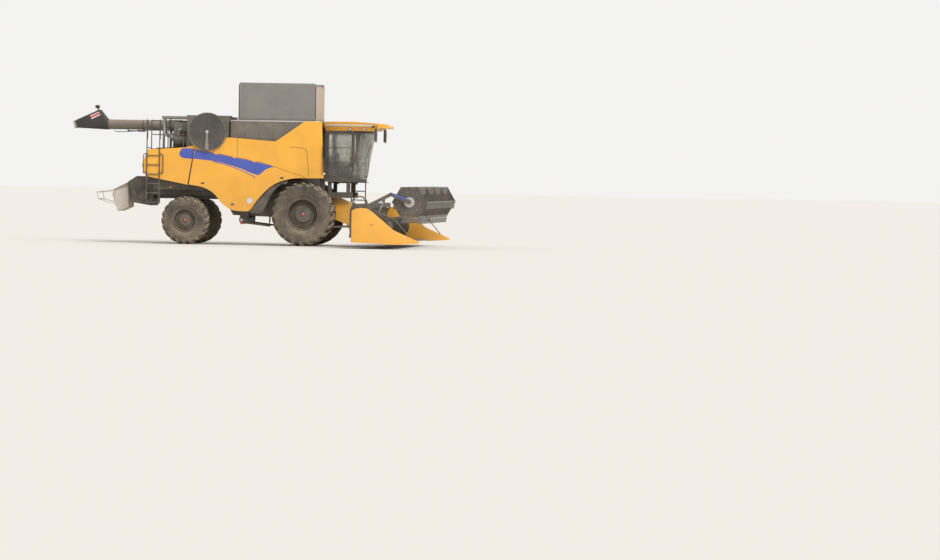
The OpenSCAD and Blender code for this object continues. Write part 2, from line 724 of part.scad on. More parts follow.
// One flight of the auger, a helical band with its axis along z
module flight(r0, r1, pitch, len, hand, t) {
  steps = 12;
  n = round(len / pitch * steps);
  points = [for (i = [0:n]) let (a = hand * i * 360 / steps, z = i * pitch / steps)
    each [[r0 * cos(a), r0 * sin(a), z], [r1 * cos(a), r1 * sin(a), z],
      [r1 * cos(a), r1 * sin(a), z + t], [r0 * cos(a), r0 * sin(a), z + t]]];
  sides = [for (i = [0:n - 1], k = [0:3]) let (p = 4 * i + k, q = 4 * i + (k + 1) % 4)
    each (hand > 0 ? [[p, q, q + 4], [p, q + 4, p + 4]] : [[p, q + 4, q], [p, p + 4, q + 4]])];
  e = 4 * n;
  ends = hand > 0 ? [[0, 3, 2], [0, 2, 1], [e, e + 1, e + 2], [e, e + 2, e + 3]]
    : [[0, 2, 3], [0, 1, 2], [e, e + 2, e + 1], [e, e + 3, e + 2]];
  polyhedron(points, concat(sides, ends));
}

module header_auger() color("#4a4a4a") place() {
  half = header_w / 2 - end_t;
  run = half - 40 - feed_y;
  bar_y(auger_tube_r, auger_x, auger_z, -half + 20, half - 20);
  both_sides() {
    bar_y(30, auger_x, auger_z, half - 20, half - pin_gap);
    translate([auger_x, half - 40 - run, auger_z]) rotate([-90, 0, 0])
      flight((auger_tube_r + pin_gap) / cos(15) + 0.3, auger_r, auger_pitch, run, 1, 8);
  }
}

module reel_arms() color("#2c2c2c") place() both_sides() difference() {
  union() {
    side_plate([[2400, 1290], [2410, 1375], [3180, 1780], [3780, 1550], [3810, 1440], [3700, 1430], [3180, 1660],
      [3000, 1565], [2990, 1420], [2930, 1410], [2900, 1512], [2500, 1290]], arm_y - 30, arm_y + 30);
    bar_y(14, cyl_b[0], cyl_b[1], arm_y + 30, cyl_y + 14);
  }
  bar_y(30 + pin_gap, reel_x, reel_z, arm_y - 40, arm_y + 40);
  bar_y(25 + pin_gap, arm_x, arm_z, arm_y - 40, arm_y + 40);
}

module reel_barrels() color("#2c2c2c") place() both_sides()
  barrel(cyl_a, cyl_b, cyl_y, 20, 11, 14, 20.5, 420);

module reel_rods() color("#c0c0c0") place() both_sides()
  ram(cyl_a, cyl_b, cyl_y, 11, 28, 12, 300, 18);

module reel() color("#2c2c2c") place() {
  bar_y(75, reel_x, reel_z, -reel_y, reel_y);
  bar_y(30, reel_x, reel_z, -arm_y - 30, arm_y + 30);
  for (y = [-reel_y, -reel_y / 2, 0, reel_y / 2, reel_y - 8])
    translate([reel_x, y + 8, reel_z]) rotate([90, 0, 0]) cylinder(r = reel_r + 30, h = 8, $fn = bats);
  for (i = [0:bats - 1]) {
    a = i * 360 / bats;
    translate([reel_x + reel_r * cos(a), 0, reel_z + reel_r * sin(a)]) {
      bar_y(20, 0, 0, -reel_y, reel_y);
      translate([-4, 0, 0]) bat_tines();
    }
  }
}

// Tines of one bat: a strip let into the bat's underside, with its teeth
module bat_tines() {
  n = floor((2 * reel_y - 200) / tine_pitch);
  y0 = -n * tine_pitch / 2;
  rotate([90, 0, 90]) linear_extrude(8) polygon(concat(
    [[-y0, 0], [y0, 0]],
    [for (i = [0:n - 1]) let (y = y0 + (i + 0.5) * tine_pitch)
      each [[y - 9, -26], [y - 4, -26 - tine_l], [y + 4, -26 - tine_l], [y + 9, -26]]]));
}

chassis_frame();
front_axle();
rear_axle();
threshing_body();
straw_hood();
grain_tank();
shoulder_panels();
rear_panels();
fenders();
engine_deck();
rails_and_ladder();
engine_block();
cooling_box();
air_cleaner();
straw_chopper();
tail_vanes();
elevators();
unload_riser();
cab_frame();
cab_glass();
cab_roof();
cab_seat();
steering_console();
cab_platform();
mirrors();
work_lamps();
rim_front_right();
tyre_front_right();
rim_front_left();
tyre_front_left();
rim_rear_right();
tyre_rear_right();
rim_rear_left();
tyre_rear_left();
knuckle_right();
knuckle_left();
tie_rod();
side_panel_right();
side_panel_left();
cover_right();
cover_left();
flap_front();
flap_rear();
dust_screen();
unload_tube();
unload_spout();
cab_door();
door_glass();
feeder_house();
header_table();
header_ends();
cutter_bar();
lift_barrels();
lift_rods();
header_auger();
reel_arms();
reel_barrels();
reel_rods();
reel();
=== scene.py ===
import math

import bmesh
import bpy
from mathutils import Matrix, Vector


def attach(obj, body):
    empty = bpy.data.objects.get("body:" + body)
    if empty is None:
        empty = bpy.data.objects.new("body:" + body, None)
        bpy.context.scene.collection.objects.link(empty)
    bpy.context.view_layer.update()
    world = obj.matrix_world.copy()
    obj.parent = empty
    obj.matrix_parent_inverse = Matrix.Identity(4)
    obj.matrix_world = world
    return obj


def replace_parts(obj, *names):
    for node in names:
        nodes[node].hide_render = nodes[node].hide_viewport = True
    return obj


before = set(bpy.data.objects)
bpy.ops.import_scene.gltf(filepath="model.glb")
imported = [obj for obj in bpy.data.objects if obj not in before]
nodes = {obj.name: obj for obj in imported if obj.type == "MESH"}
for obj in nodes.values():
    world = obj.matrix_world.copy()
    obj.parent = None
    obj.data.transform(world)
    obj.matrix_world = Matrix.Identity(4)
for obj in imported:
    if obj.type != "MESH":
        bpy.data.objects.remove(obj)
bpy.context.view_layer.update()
axleX = 1.75  # front axle ahead of the origin
print("frame loaded:", len(nodes), "nodes")

# Camera of the photograph: a long lens far out on the right, a little in front
view = {"place": (19.43 + axleX, -167.38, 2.39), "yaw": 4.84, "pitch": 1.16, "roll": 0.98, "lens": 200,
        "sensor": 36, "far": 2000}


def makeCamera():
    yaw, pitch, roll = (math.radians(view[k]) for k in ("yaw", "pitch", "roll"))
    ahead = Vector((-math.sin(yaw) * math.cos(pitch), math.cos(yaw) * math.cos(pitch), -math.sin(pitch)))
    level = Vector((math.cos(yaw), math.sin(yaw), 0))
    above = level.cross(ahead)
    right = level * math.cos(roll) + above * math.sin(roll)
    up = above * math.cos(roll) - level * math.sin(roll)
    data = bpy.data.cameras.new("camera")
    data.lens, data.sensor_width, data.clip_end = view["lens"], view["sensor"], view["far"]
    camera = bpy.data.objects.new("camera", data)
    bpy.context.scene.collection.objects.link(camera)
    camera.matrix_world = Matrix((right, up, -ahead)).transposed().to_4x4()
    camera.location = view["place"]
    bpy.context.scene.camera = camera


makeCamera()
print("camera placed")


# Nodes with their settings and with what goes into their inputs: a value, a socket or a node
def addNode(tree, kind, inputs, **settings):
    node = tree.nodes.new("ShaderNode" + kind)
    for key, value in settings.items():
        setattr(node, key, value)
    for slot, value in inputs.items():
        source = value.outputs[0] if isinstance(value, bpy.types.Node) else value
        if isinstance(source, bpy.types.NodeSocket):
            tree.links.new(source, node.inputs[slot])
        else:
            node.inputs[slot].default_value = source
    return node


def addMath(tree, operation, first, second, clamp=False):
    return addNode(tree, "Math", {0: first, 1: second}, operation=operation, use_clamp=clamp)


def mixColours(tree, share, first, second, blend="MIX"):
    mix = addNode(tree, "Mix", {}, data_type="RGBA", blend_type=blend)
    for slot, value in zip((0, 6, 7), (share, first, second)):
        if isinstance(value, bpy.types.NodeSocket):
            tree.links.new(value, mix.inputs[slot])
        else:
            mix.inputs[slot].default_value = value
    return mix.outputs[2]


def addRange(tree, value, *ends):
    # Ends are from, from, to, to; None leaves one as it is
    slots = {name: end for name, end in zip(("From Min", "From Max", "To Min", "To Max"), ends) if end is not None}
    return addNode(tree, "MapRange", {"Value": value, **slots}).outputs[0]


def newMaterial(name):
    material = bpy.data.materials.new(name)
    material.use_nodes = True
    return material, material.node_tree, material.node_tree.nodes["Principled BSDF"].inputs


# Light and backdrop
light = {"floorColour": (0.86, 0.82, 0.76), "floorRough": 0.9, "floorSize": 900,
         "skyColour": (0.90, 0.895, 0.88), "skyStrength": 0.62, "sunStrength": 1.9, "sunAngle": 22,
         "sunTurn": (48, 8, 28)}


def makeStudio():
    world = bpy.data.worlds.new("studio")
    bpy.context.scene.world = world
    world.use_nodes = True
    tree = world.node_tree
    tree.nodes.clear()
    path = addNode(tree, "LightPath", {}).outputs
    mirroredRay = addMath(tree, "MAXIMUM", path["Is Camera Ray"], path["Is Glossy Ray"])
    seenRay = addMath(tree, "MAXIMUM", mirroredRay, path["Is Transmission Ray"])
    lit = addNode(tree, "Background", {"Color": (1, 1, 1, 1), "Strength": light["skyStrength"]})
    seen = addNode(tree, "Background", {"Color": (*light["skyColour"], 1)})
    mix = addNode(tree, "MixShader", {"Fac": seenRay, 1: lit, 2: seen})
    addNode(tree, "OutputWorld", {"Surface": mix})
    sun = bpy.data.lights.new("sun", "SUN")
    sun.energy, sun.angle = light["sunStrength"], math.radians(light["sunAngle"])
    lamp = bpy.data.objects.new("sun", sun)
    lamp.rotation_euler = [math.radians(a) for a in light["sunTurn"]]
    bpy.context.scene.collection.objects.link(lamp)
    bpy.ops.object.select_all(action="DESELECT")
    bpy.ops.mesh.primitive_plane_add(size=light["floorSize"], location=(0, 0, 0))
    floor = bpy.context.object
    floor.name = "floor"
    pale, _, shader = newMaterial("floorPale")
    shader["Base Color"].default_value = (*light["floorColour"], 1)
    shader["Roughness"].default_value = light["floorRough"]
    floor.data.materials.append(pale)
    bpy.context.scene.view_settings.view_transform = "Standard"


# Shader groups that the finishes share
def newGroup(name, inputs, outputs):
    group = bpy.data.node_groups.new(name, "ShaderNodeTree")
    for label, value in inputs.items():
        socket = group.interface.new_socket(label, in_out="INPUT", socket_type="NodeSocketFloat")
        socket.default_value = value
    for label, kind in outputs.items():
        group.interface.new_socket(label, in_out="OUTPUT", socket_type="NodeSocket" + kind)
    place = addNode(group, "TexCoord", {}).outputs["Object"]
    return group, group.nodes.new("NodeGroupInput").outputs, group.nodes.new("NodeGroupOutput").inputs, place


def addNoise(group, place, scale, detail, roughness):
    return addNode(group, "TexNoise", {"Vector": place, "Scale": scale, "Detail": detail,
                                       "Roughness": roughness}).outputs["Fac"]


# Dust: lies on what faces up, thickens towards the ground and clings in patches
dustLook = {"patch": (6.0, 0.62), "spot": (46.0, 5.0, 0.7), "dark": (0.40, 0.30, 0.19, 1),
            "pale": (0.62, 0.50, 0.36, 1), "ground": 0.3, "lowShare": (1.0, 0.25), "upward": (0.15, 0.9, 0.0, 0.9),
            "spread": (0.13, 0.40, 0.15, 1.35), "rough": 0.92}


def makeDustGroup():
    group, given, result, place = newGroup("fieldDust", {"Amount": 0.3, "Top Height": 3.2, "Patch Scale": 3.0},
                                           {"Mask": "Float", "Colour": "Color"})
    normal = addNode(group, "NewGeometry", {}).outputs["Normal"]
    height = addNode(group, "SeparateXYZ", {"Vector": place}).outputs["Z"]
    facing = addNode(group, "SeparateXYZ", {"Vector": normal}).outputs["Z"]
    low = addRange(group, height, dustLook["ground"], given["Top Height"], *dustLook["lowShare"])
    upward = addRange(group, facing, *dustLook["upward"])
    patches = addNoise(group, place, given["Patch Scale"], *dustLook["patch"])
    spots = addNoise(group, place, *dustLook["spot"])
    spread = addRange(group, addMath(group, "MULTIPLY", patches, spots), *dustLook["spread"])
    total = addMath(group, "ADD", addMath(group, "MULTIPLY", spread, low), upward)
    scaled = addMath(group, "MULTIPLY", total, given["Amount"], True)
    group.links.new(scaled.outputs[0], result["Mask"])
    group.links.new(mixColours(group, spots, dustLook["dark"], dustLook["pale"]), result["Colour"])
    return group


# Fine relief of a painted or moulded surface
reliefLook = {"grain": (4.0, 0.6), "wave": (2.0, 0.4), "shade": (0.3, 0.7, 0.93, 1.05)}


def makeReliefGroup():
    group, given, result, place = newGroup(
        "fineRelief", {"Grain Scale": 90.0, "Wave Scale": 1.6, "Grain Share": 0.4},
        {"Height": "Float", "Shade": "Float"})
    grain = addNoise(group, place, given["Grain Scale"], *reliefLook["grain"])
    wave = addNoise(group, place, given["Wave Scale"], *reliefLook["wave"])
    height = addNode(group, "Mix", {"Factor": given["Grain Share"], 2: wave, 3: grain})
    group.links.new(height.outputs[0], result["Height"])
    group.links.new(addRange(group, wave, *reliefLook["shade"]), result["Shade"])
    return group


# Scratches and chips that show what is under the paint
wearLook = {"stretch": (1.0, 1.0, 0.25), "noise": (8.0, 0.72), "level": 0.78, "sharpness": 14.0}


def makeWearGroup():
    group, given, result, place = newGroup("wear", {"Amount": 0.1, "Scale": 9.0}, {"Mask": "Float"})
    stretched = addNode(group, "Mapping", {"Vector": place, "Scale": wearLook["stretch"]}).outputs[0]
    lines = addNoise(group, stretched, given["Scale"], *wearLook["noise"])
    level = addMath(group, "SUBTRACT", wearLook["level"], given["Amount"])
    sharp = addMath(group, "MULTIPLY", addMath(group, "SUBTRACT", lines, level), wearLook["sharpness"], True)
    group.links.new(sharp.outputs[0], result["Mask"])
    return group


dustGroup, reliefGroup, wearGroup = makeDustGroup(), makeReliefGroup(), makeWearGroup()

# One line for each finish: its colour, the colour under it, and the rest as in the columns
finishColumns = ("colour", "under", "rough", "metal", "dust", "dustTop", "wear", "bump", "grain", "coat")
finishTable = {
    "yellowPaint": ((0.90, 0.43, 0.035), (0.30, 0.27, 0.24), 0.34, 0.0, 0.16, 3.6, 0.05, 0.10, 60, 0.25),
    "tankPaint": ((0.125, 0.112, 0.10), (0.25, 0.22, 0.19), 0.55, 0.0, 0.34, 6.5, 0.10, 0.18, 90, 0.0),
    "darkPaint": ((0.042, 0.040, 0.040), (0.20, 0.16, 0.12), 0.5, 0.0, 0.28, 4.5, 0.12, 0.2, 110, 0.0),
    "blackPlastic": ((0.030, 0.030, 0.031), (0.10, 0.10, 0.10), 0.48, 0.0, 0.28, 5.0, 0.05, 0.22, 220, 0.0),
    "rimPaint": ((0.048, 0.042, 0.037), (0.22, 0.17, 0.12), 0.52, 0.0, 0.30, 3.5, 0.10, 0.2, 90, 0.0),
    "tyreRubber": ((0.028, 0.026, 0.025), (0.16, 0.12, 0.08), 0.82, 0.0, 0.42, 3.4, 0.08, 0.35, 70, 0.0),
    "bareSteel": ((0.52, 0.51, 0.49), (0.18, 0.11, 0.06), 0.36, 1.0, 0.22, 3.0, 0.16, 0.15, 130, 0.0),
    "flapSheet": ((0.60, 0.53, 0.44), (0.40, 0.34, 0.27), 0.75, 0.0, 0.25, 7.0, 0.06, 0.3, 160, 0.0),
    "paleSheet": ((0.60, 0.56, 0.50), (0.30, 0.25, 0.20), 0.6, 0.0, 0.4, 4.0, 0.12, 0.2, 90, 0.0),
    "stripeBlue": ((0.045, 0.085, 0.42), (0.30, 0.30, 0.34), 0.3, 0.0, 0.14, 3.6, 0.04, 0.06, 60, 0.3),
    "seamBlack": ((0.022, 0.021, 0.021), (0.10, 0.10, 0.10), 0.6, 0.0, 0.2, 4.0, 0.03, 0.1, 120, 0.0),
    "markerOrange": ((0.86, 0.10, 0.018), (0.30, 0.10, 0.05), 0.35, 0.0, 0.18, 3.0, 0.06, 0.08, 80, 0.2),
    "plateWhite": ((0.74, 0.73, 0.70), (0.40, 0.38, 0.35), 0.4, 0.0, 0.2, 4.0, 0.05, 0.08, 120, 0.2),
    "plateRed": ((0.62, 0.030, 0.030), (0.30, 0.10, 0.08), 0.32, 0.0, 0.15, 5.0, 0.04, 0.08, 120, 0.3),
    "lampRed": ((0.50, 0.018, 0.015), (0.30, 0.05, 0.05), 0.18, 0.0, 0.2, 4.0, 0.02, 0.5, 320, 0.6),
    "lampAmber": ((0.80, 0.21, 0.012), (0.4, 0.2, 0.05), 0.18, 0.0, 0.15, 6.0, 0.02, 0.4, 280, 0.6),
    "mirrorGlass": ((0.62, 0.64, 0.66), (0.3, 0.3, 0.3), 0.08, 1.0, 0.3, 6.0, 0.02, 0.02, 60, 0.0),
    "seatCloth": ((0.050, 0.052, 0.058), (0.12, 0.12, 0.12), 0.92, 0.0, 0.12, 6.0, 0.04, 0.6, 520, 0.0),
    "beltRubber": ((0.020, 0.020, 0.020), (0.12, 0.10, 0.08), 0.7, 0.0, 0.3, 4.0, 0.05, 0.25, 260, 0.0),
    "spoutLip": ((0.36, 0.31, 0.26), (0.2, 0.17, 0.14), 0.8, 0.0, 0.3, 6.5, 0.06, 0.3, 150, 0.0),
    "coverPaint": ((0.23, 0.225, 0.225), (0.25, 0.22, 0.19), 0.5, 0.0, 0.30, 7.5, 0.08, 0.16, 90, 0.0),
    "flapBatten": ((0.50, 0.43, 0.35), (0.40, 0.34, 0.27), 0.75, 0.0, 0.25, 7.0, 0.06, 0.3, 160, 0.0),
    # Pale strip on the tank's lip: galvanised steel, made paler still as a painted highlight along the lip
    "lipEdgeAndHighlight": ((0.50, 0.49, 0.47), (0.35, 0.30, 0.25), 0.42, 0.6, 0.2, 6.5, 0.08, 0.12, 120, 0.0),
    "ductGrey": ((0.20, 0.185, 0.165), (0.10, 0.09, 0.08), 0.6, 0.0, 0.4, 6.5, 0.1, 0.2, 100, 0.0),
    "creamPanel": ((0.60, 0.50, 0.36), (0.40, 0.34, 0.27), 0.45, 0.0, 0.2, 5.5, 0.04, 0.1, 90, 0.1),
    "lampClear": ((0.50, 0.50, 0.48), (0.4, 0.4, 0.4), 0.12, 0.0, 0.2, 6.0, 0.02, 0.6, 240, 0.8),
    "screenGlass": ((0.012, 0.014, 0.018), (0.1, 0.1, 0.1), 0.1, 0.0, 0.12, 6.0, 0.01, 0.02, 60, 0.6),
    "engineGrey": ((0.16, 0.155, 0.15), (0.10, 0.08, 0.06), 0.5, 0.4, 0.3, 6.0, 0.1, 0.2, 80, 0.0),
    "treadPlate": ((0.14, 0.135, 0.13), (0.30, 0.27, 0.22), 0.5, 0.5, 0.4, 5.0, 0.14, 0.3, 40, 0.0),
    "tineSteel": ((0.34, 0.33, 0.32), (0.20, 0.13, 0.08), 0.4, 0.85, 0.3, 4.0, 0.1, 0.1, 160, 0.0),
    "sieve": ((0.036, 0.028, 0.022), (0.12, 0.10, 0.08), 0.7, 0.2, 0.28, 6.0, 0.1, 1.0, 260, 0.0),
    "cleanSteel": ((0.60, 0.60, 0.59), (0.25, 0.18, 0.12), 0.24, 1.0, 0.14, 3.0, 0.08, 0.1, 160, 0.0),
}


bumpDepth, coatRough = 0.004, 0.2


def addDust(tree, spec):
    return addNode(tree, "Group", {"Amount": spec["dust"], "Top Height": spec["dustTop"]},
                   node_tree=dustGroup).outputs


def makeFinish(name, row):
    spec = dict(zip(finishColumns, row))
    material, tree, shader = newMaterial(name)
    dust = addDust(tree, spec)
    relief = addNode(tree, "Group", {"Grain Scale": spec["grain"]}, node_tree=reliefGroup).outputs
    wear = addNode(tree, "Group", {"Amount": spec["wear"]}, node_tree=wearGroup).outputs
    shaded = mixColours(tree, 1.0, (*spec["colour"], 1), relief["Shade"], "MULTIPLY")
    worn = mixColours(tree, wear["Mask"], shaded, (*spec["under"], 1))
    dusty = mixColours(tree, dust["Mask"], worn, dust["Colour"])
    rough = addRange(tree, dust["Mask"], None, None, spec["rough"], dustLook["rough"])
    bump = addNode(tree, "Bump", {"Height": relief["Height"], "Strength": spec["bump"], "Distance": bumpDepth})
    tree.links.new(dusty, shader["Base Color"])
    tree.links.new(rough, shader["Roughness"])
    tree.links.new(bump.outputs["Normal"], shader["Normal"])
    if spec["metal"]:
        tree.links.new(addRange(tree, dust["Mask"], None, None, spec["metal"], 0.0), shader["Metallic"])
    shader["Coat Weight"].default_value = spec["coat"]
    shader["Coat Roughness"].default_value = coatRough
    return material


finishes = {name: makeFinish(name, row) for name, row in finishTable.items()}
makeStudio()
print("finishes made:", len(finishes))

glassSpec = {"tint": (0.75, 0.80, 0.80), "rough": 0.04, "dusty": 0.5, "ior": 1.45, "transmission": 0.92,
             "dust": 0.8, "dustTop": 7.0}


def makeGlass():
    material, tree, shader = newMaterial("cabGlazing")
    dust = addDust(tree, glassSpec)
    film = addRange(tree, dust["Mask"], None, None, glassSpec["rough"], glassSpec["dusty"])
    tint = mixColours(tree, dust["Mask"], (*glassSpec["tint"], 1), dust["Colour"])
    tree.links.new(tint, shader["Base Color"])
    tree.links.new(film, shader["Roughness"])
    shader["IOR"].default_value = glassSpec["ior"]
    shader["Transmission Weight"].default_value = glassSpec["transmission"]
    return material


finishes["glass"] = makeGlass()

nodeFinishes = {
    "yellowPaint": "side_panel_right side_panel_left shoulder_panels rear_panels feeder_house header_ends "
                   "cab_roof",
    "tankPaint": "grain_tank unload_tube unload_riser cooling_box",
    "darkPaint": "chassis_frame front_axle rear_axle threshing_body straw_hood engine_deck rails_and_ladder "
                 "straw_chopper elevators cab_platform knuckle_right knuckle_left tie_rod dust_screen header_table "
                 "reel_arms reel_barrels lift_barrels reel header_auger",
    "blackPlastic": "fenders cab_frame cab_door steering_console mirrors air_cleaner unload_spout cab_seat",
    "lampClear": "work_lamps",
    "coverPaint": "cover_right cover_left",
    "engineGrey": "engine_block",
    "paleSheet": "tail_vanes",
    "flapSheet": "flap_front flap_rear",
    "rimPaint": "rim_front_right rim_front_left rim_rear_right rim_rear_left",
    "tyreRubber": "tyre_front_right tyre_front_left tyre_rear_right tyre_rear_left",
    "bareSteel": "cutter_bar lift_rods reel_rods",
    "glass": "cab_glass door_glass",
}
for finish, names in nodeFinishes.items():
    for name in names.split():
        nodes[name].data.materials.clear()
        nodes[name].data.materials.append(finishes[finish])
print("finishes given to the frame's nodes")

# Ways of modelling that the pieces share
def pick(*objects):
    if bpy.context.object and bpy.context.object.mode != "OBJECT":
        bpy.ops.object.mode_set(mode="OBJECT")
    bpy.ops.object.select_all(action="DESELECT")
    for item in objects:
        item.select_set(True)
    if objects:
        bpy.context.view_layer.objects.active = objects[0]


def settle(item):
    pick(item)
    bpy.ops.object.transform_apply(location=True, rotation=True, scale=True)
    return item


def applyModifiers(item):
    pick(item)
    for modifier in list(item.modifiers):
        bpy.ops.object.modifier_apply(modifier=modifier.name)
    return item


def modified(item, kind, **settings):
    modifier = item.modifiers.new("step", kind)
    for key, value in settings.items():
        setattr(modifier, key, value)
    return applyModifiers(item)


def bevelPiece(item, width, segments=2):
    return modified(item, "BEVEL", width=width, segments=segments, limit_method="ANGLE",
                    angle_limit=math.radians(30))


def inRow(item, count, offset):
    return modified(item, "ARRAY", count=count, use_relative_offset=False, use_constant_offset=True,
                    constant_offset_displace=offset)


def edit(item, *steps):
    # Edit steps, each with the whole mesh selected
    pick(item)
    bpy.ops.object.mode_set(mode="EDIT")
    for step in steps:
        bpy.ops.mesh.select_all(action="SELECT")
        step()
    bpy.ops.object.mode_set(mode="OBJECT")
    return item


def faceOut():
    bpy.ops.mesh.normals_make_consistent(inside=False)


def extrude(move):
    return lambda: bpy.ops.mesh.extrude_region_move(TRANSFORM_OT_translate={"value": move})


def cutAcross(axis, at):
    plane = [at if k == axis else 0 for k in range(3)]
    across = [float(k == axis) for k in range(3)]
    return lambda: bpy.ops.mesh.bisect(plane_co=plane, plane_no=across)


def addBlock(low, high, bevel=0.004, segments=2, turn=(0, 0, 0)):
    pick()
    size = [b - a for a, b in zip(low, high)]
    centre = [(a + b) / 2 for a, b in zip(low, high)]
    bpy.ops.mesh.primitive_cube_add(size=1, location=centre, rotation=turn)
    item = bpy.context.object
    item.scale = size
    settle(item)
    return bevelPiece(item, min(bevel, 0.45 * min(size)), segments) if bevel else item


def addBar(start, end, radius, sides=16, bevel=0.0, taper=1.0):
    pick()
    start, end = Vector(start), Vector(end)
    bpy.ops.mesh.primitive_cone_add(vertices=sides, radius1=radius, radius2=radius * taper,
                                    depth=(end - start).length, location=(start + end) / 2,
                                    rotation=(end - start).to_track_quat("Z", "Y").to_euler())
    item = settle(bpy.context.object)
    return bevelPiece(item, bevel) if bevel else item


def addTorus(radius, wire, sides, centre, turn=(0, 0, 0)):
    pick()
    bpy.ops.mesh.primitive_torus_add(major_radius=radius, minor_radius=wire, major_segments=sides[0],
                                     minor_segments=sides[1], location=centre, rotation=turn)
    return settle(bpy.context.object)


def addPipe(points, radius, steps=4, sides=3):
    curve = bpy.data.curves.new("pipe", "CURVE")
    curve.dimensions, curve.bevel_depth, curve.bevel_resolution = "3D", radius, sides
    curve.use_fill_caps, curve.resolution_u = True, steps
    line = curve.splines.new("NURBS")
    line.points.add(len(points) - 1)
    for spot, place in zip(line.points, points):
        spot.co = (*place, 1)
    line.use_endpoint_u, line.order_u = True, 4
    item = bpy.data.objects.new("pipe", curve)
    bpy.context.scene.collection.objects.link(item)
    pick(item)
    bpy.ops.object.convert(target="MESH")
    return item


def addRings(centre, axis, profile, segments=48, close=False):
    # Rings from a circle that is extruded and resized along the profile of (radius, offset)
    pick()
    centre, axis = Vector(centre), Vector(axis).normalized()
    bpy.ops.mesh.primitive_circle_add(vertices=segments, radius=profile[0][0],
                                      location=centre + axis * profile[0][1],
                                      rotation=axis.to_track_quat("Z", "Y").to_euler())
    item = bpy.context.object
    bpy.ops.object.mode_set(mode="EDIT")
    for (r0, o0), (r1, o1) in zip(profile, profile[1:]):
        bpy.ops.mesh.extrude_region_move(TRANSFORM_OT_translate={"value": axis * (o1 - o0)})
        if abs(r1 - r0) > 1e-6:
            bpy.ops.transform.resize(value=[r1 / r0] * 3, center_override=centre + axis * o1)
    bpy.ops.mesh.select_all(action="SELECT")
    if close:
        bpy.ops.mesh.remove_doubles(threshold=0.0002)
    else:
        bpy.ops.mesh.fill_holes(sides=0)
    faceOut()
    bpy.ops.object.mode_set(mode="OBJECT")
    return settle(item)


def copied(item, *moves):
    twin = item.copy()
    twin.data = item.data.copy()
    bpy.context.scene.collection.objects.link(twin)
    for move in moves:
        twin.data.transform(move)
    return twin


def copyAround(item, centre, axis, count, first=0.0):
    made = [item] + [copied(item) for k in range(1, count)]
    for k, twin in enumerate(made):
        turn = Matrix.Rotation(math.radians(first + 360.0 * k / count), 4, Vector(axis))
        place = Matrix.Translation(centre)
        twin.data.transform(place @ turn @ place.inverted())
    return joined(made)


def copyTo(item, offsets):
    made = [copied(item, Matrix.Translation(offset)) for offset in offsets]
    bpy.data.objects.remove(item)
    return joined(made)


def mirrored(item):
    twin = copied(item, Matrix.Scale(-1, 4, (0, 1, 0)))
    twin.data.flip_normals()
    return twin


def joined(items):
    pick(*items)
    if len(items) > 1:
        bpy.ops.object.join()
    return bpy.context.view_layer.objects.active


def painted(item, finish):
    item.data.materials.clear()
    item.data.materials.append(finishes[finish])
    return item


def place(item, name, body, finish, slotName=None, smooth=35):
    item.name = item.data.name = name
    pick(item)
    bpy.ops.object.shade_smooth_by_angle(angle=math.radians(smooth))
    if finish:
        painted(item, finish)
    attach(item, body)
    return item


def bothSides(item, name, bodies, finish, slotName, smooth=35):
    # The right-hand piece and its mirror image, each on its own body
    twin = mirrored(item)
    place(item, name + "Right", bodies[0], finish, slotName, smooth)
    place(twin, name + "Left", bodies[-1], finish, slotName, smooth)


def touch(item, start, way):
    # Where a line from start meets a piece
    hit, spot, _, _ = item.ray_cast(Vector(start), Vector(way).normalized())
    return spot if hit else Vector(start)


def addOutline(points, fill="NGON"):
    pick()
    bpy.ops.mesh.primitive_circle_add(vertices=len(points), fill_type=fill, location=(0, 0, 0))
    item = bpy.context.object
    for vertex, spot in zip(item.data.vertices, points):
        vertex.co = spot
    return item


def addProfile(outline, y0, y1, bevel=0.004, segments=2):
    # Solid with an outline in side view, from y0 to y1
    item = edit(addOutline([(x, y0, z) for x, z in outline]), extrude((0, y1 - y0, 0)), faceOut)
    return bevelPiece(item, bevel, segments) if bevel else item


def laySheet(outline, heights, depthAt, thickness):
    # Sheet from an outline in side view: cut into rows, laid at its depths and given a thickness
    rows = [cutAcross(2, height) for height in heights]
    item = edit(addOutline([(x, 0, z) for x, z in outline]), *rows, bpy.ops.mesh.quads_convert_to_tris)
    for vertex in item.data.vertices:
        vertex.co.y = depthAt(vertex.co.x, vertex.co.z)
    item.data.update()
    return edit(modified(item, "SOLIDIFY", thickness=thickness, offset=0), faceOut)


def machine(points):
    # Millimetres from the front axle, as they were taken off the side view, to metres in the frame
    return [(x / 1000 + axleX, z / 1000) for x, z in points]


def spotOf(x, y, z):
    return Vector((x / 1000 + axleX, y / 1000, z / 1000))


def onArc(centre, radius, turn):
    return centre[0] + radius * math.cos(turn), centre[1] + radius * math.sin(turn)


def bent(points, corner):
    # A path's corners given points close by on both sides, so that a pipe stays straight between its bends
    made = [Vector(points[0])]
    for before, here, after in zip(points, points[1:], points[2:]):
        here = Vector(here)
        made += [here + (Vector(before) - here).normalized() * corner, here,
                 here + (Vector(after) - here).normalized() * corner]
    return made + [Vector(points[-1])]


def addForm(spec):
    # A piece's pipes, rods, blocks and plates, in millimetres from the front axle; a twin has a mirror image
    edge, items = spec.get("edge", 3) / 1000, []
    for path, radius in spec.get("pipes", []):
        items.append(addPipe(bent([spotOf(*spot) for spot in path], 0.05), radius / 1000, 3, 2))
    for start, end, radius in spec.get("rods", []):
        items.append(addBar(spotOf(*start), spotOf(*end), radius / 1000, 16 if radius < 100 else 48,
                            edge * (radius > 40)))
    for low, high in spec.get("blocks", []):
        items.append(addBlock(spotOf(*low), spotOf(*high), edge))
    for outline, y0, y1 in spec.get("plates", []):
        items.append(addProfile(machine(outline), y0 / 1000, y1 / 1000, edge))
    item = joined(items)
    return joined([item, mirrored(item)]) if spec.get("twin") else item


def addStuds(ends, radius, bevel=0.002):
    # Six-sided heads from start to end
    return joined([addBar(start, end, radius, 6, bevel) for start, end in ends])


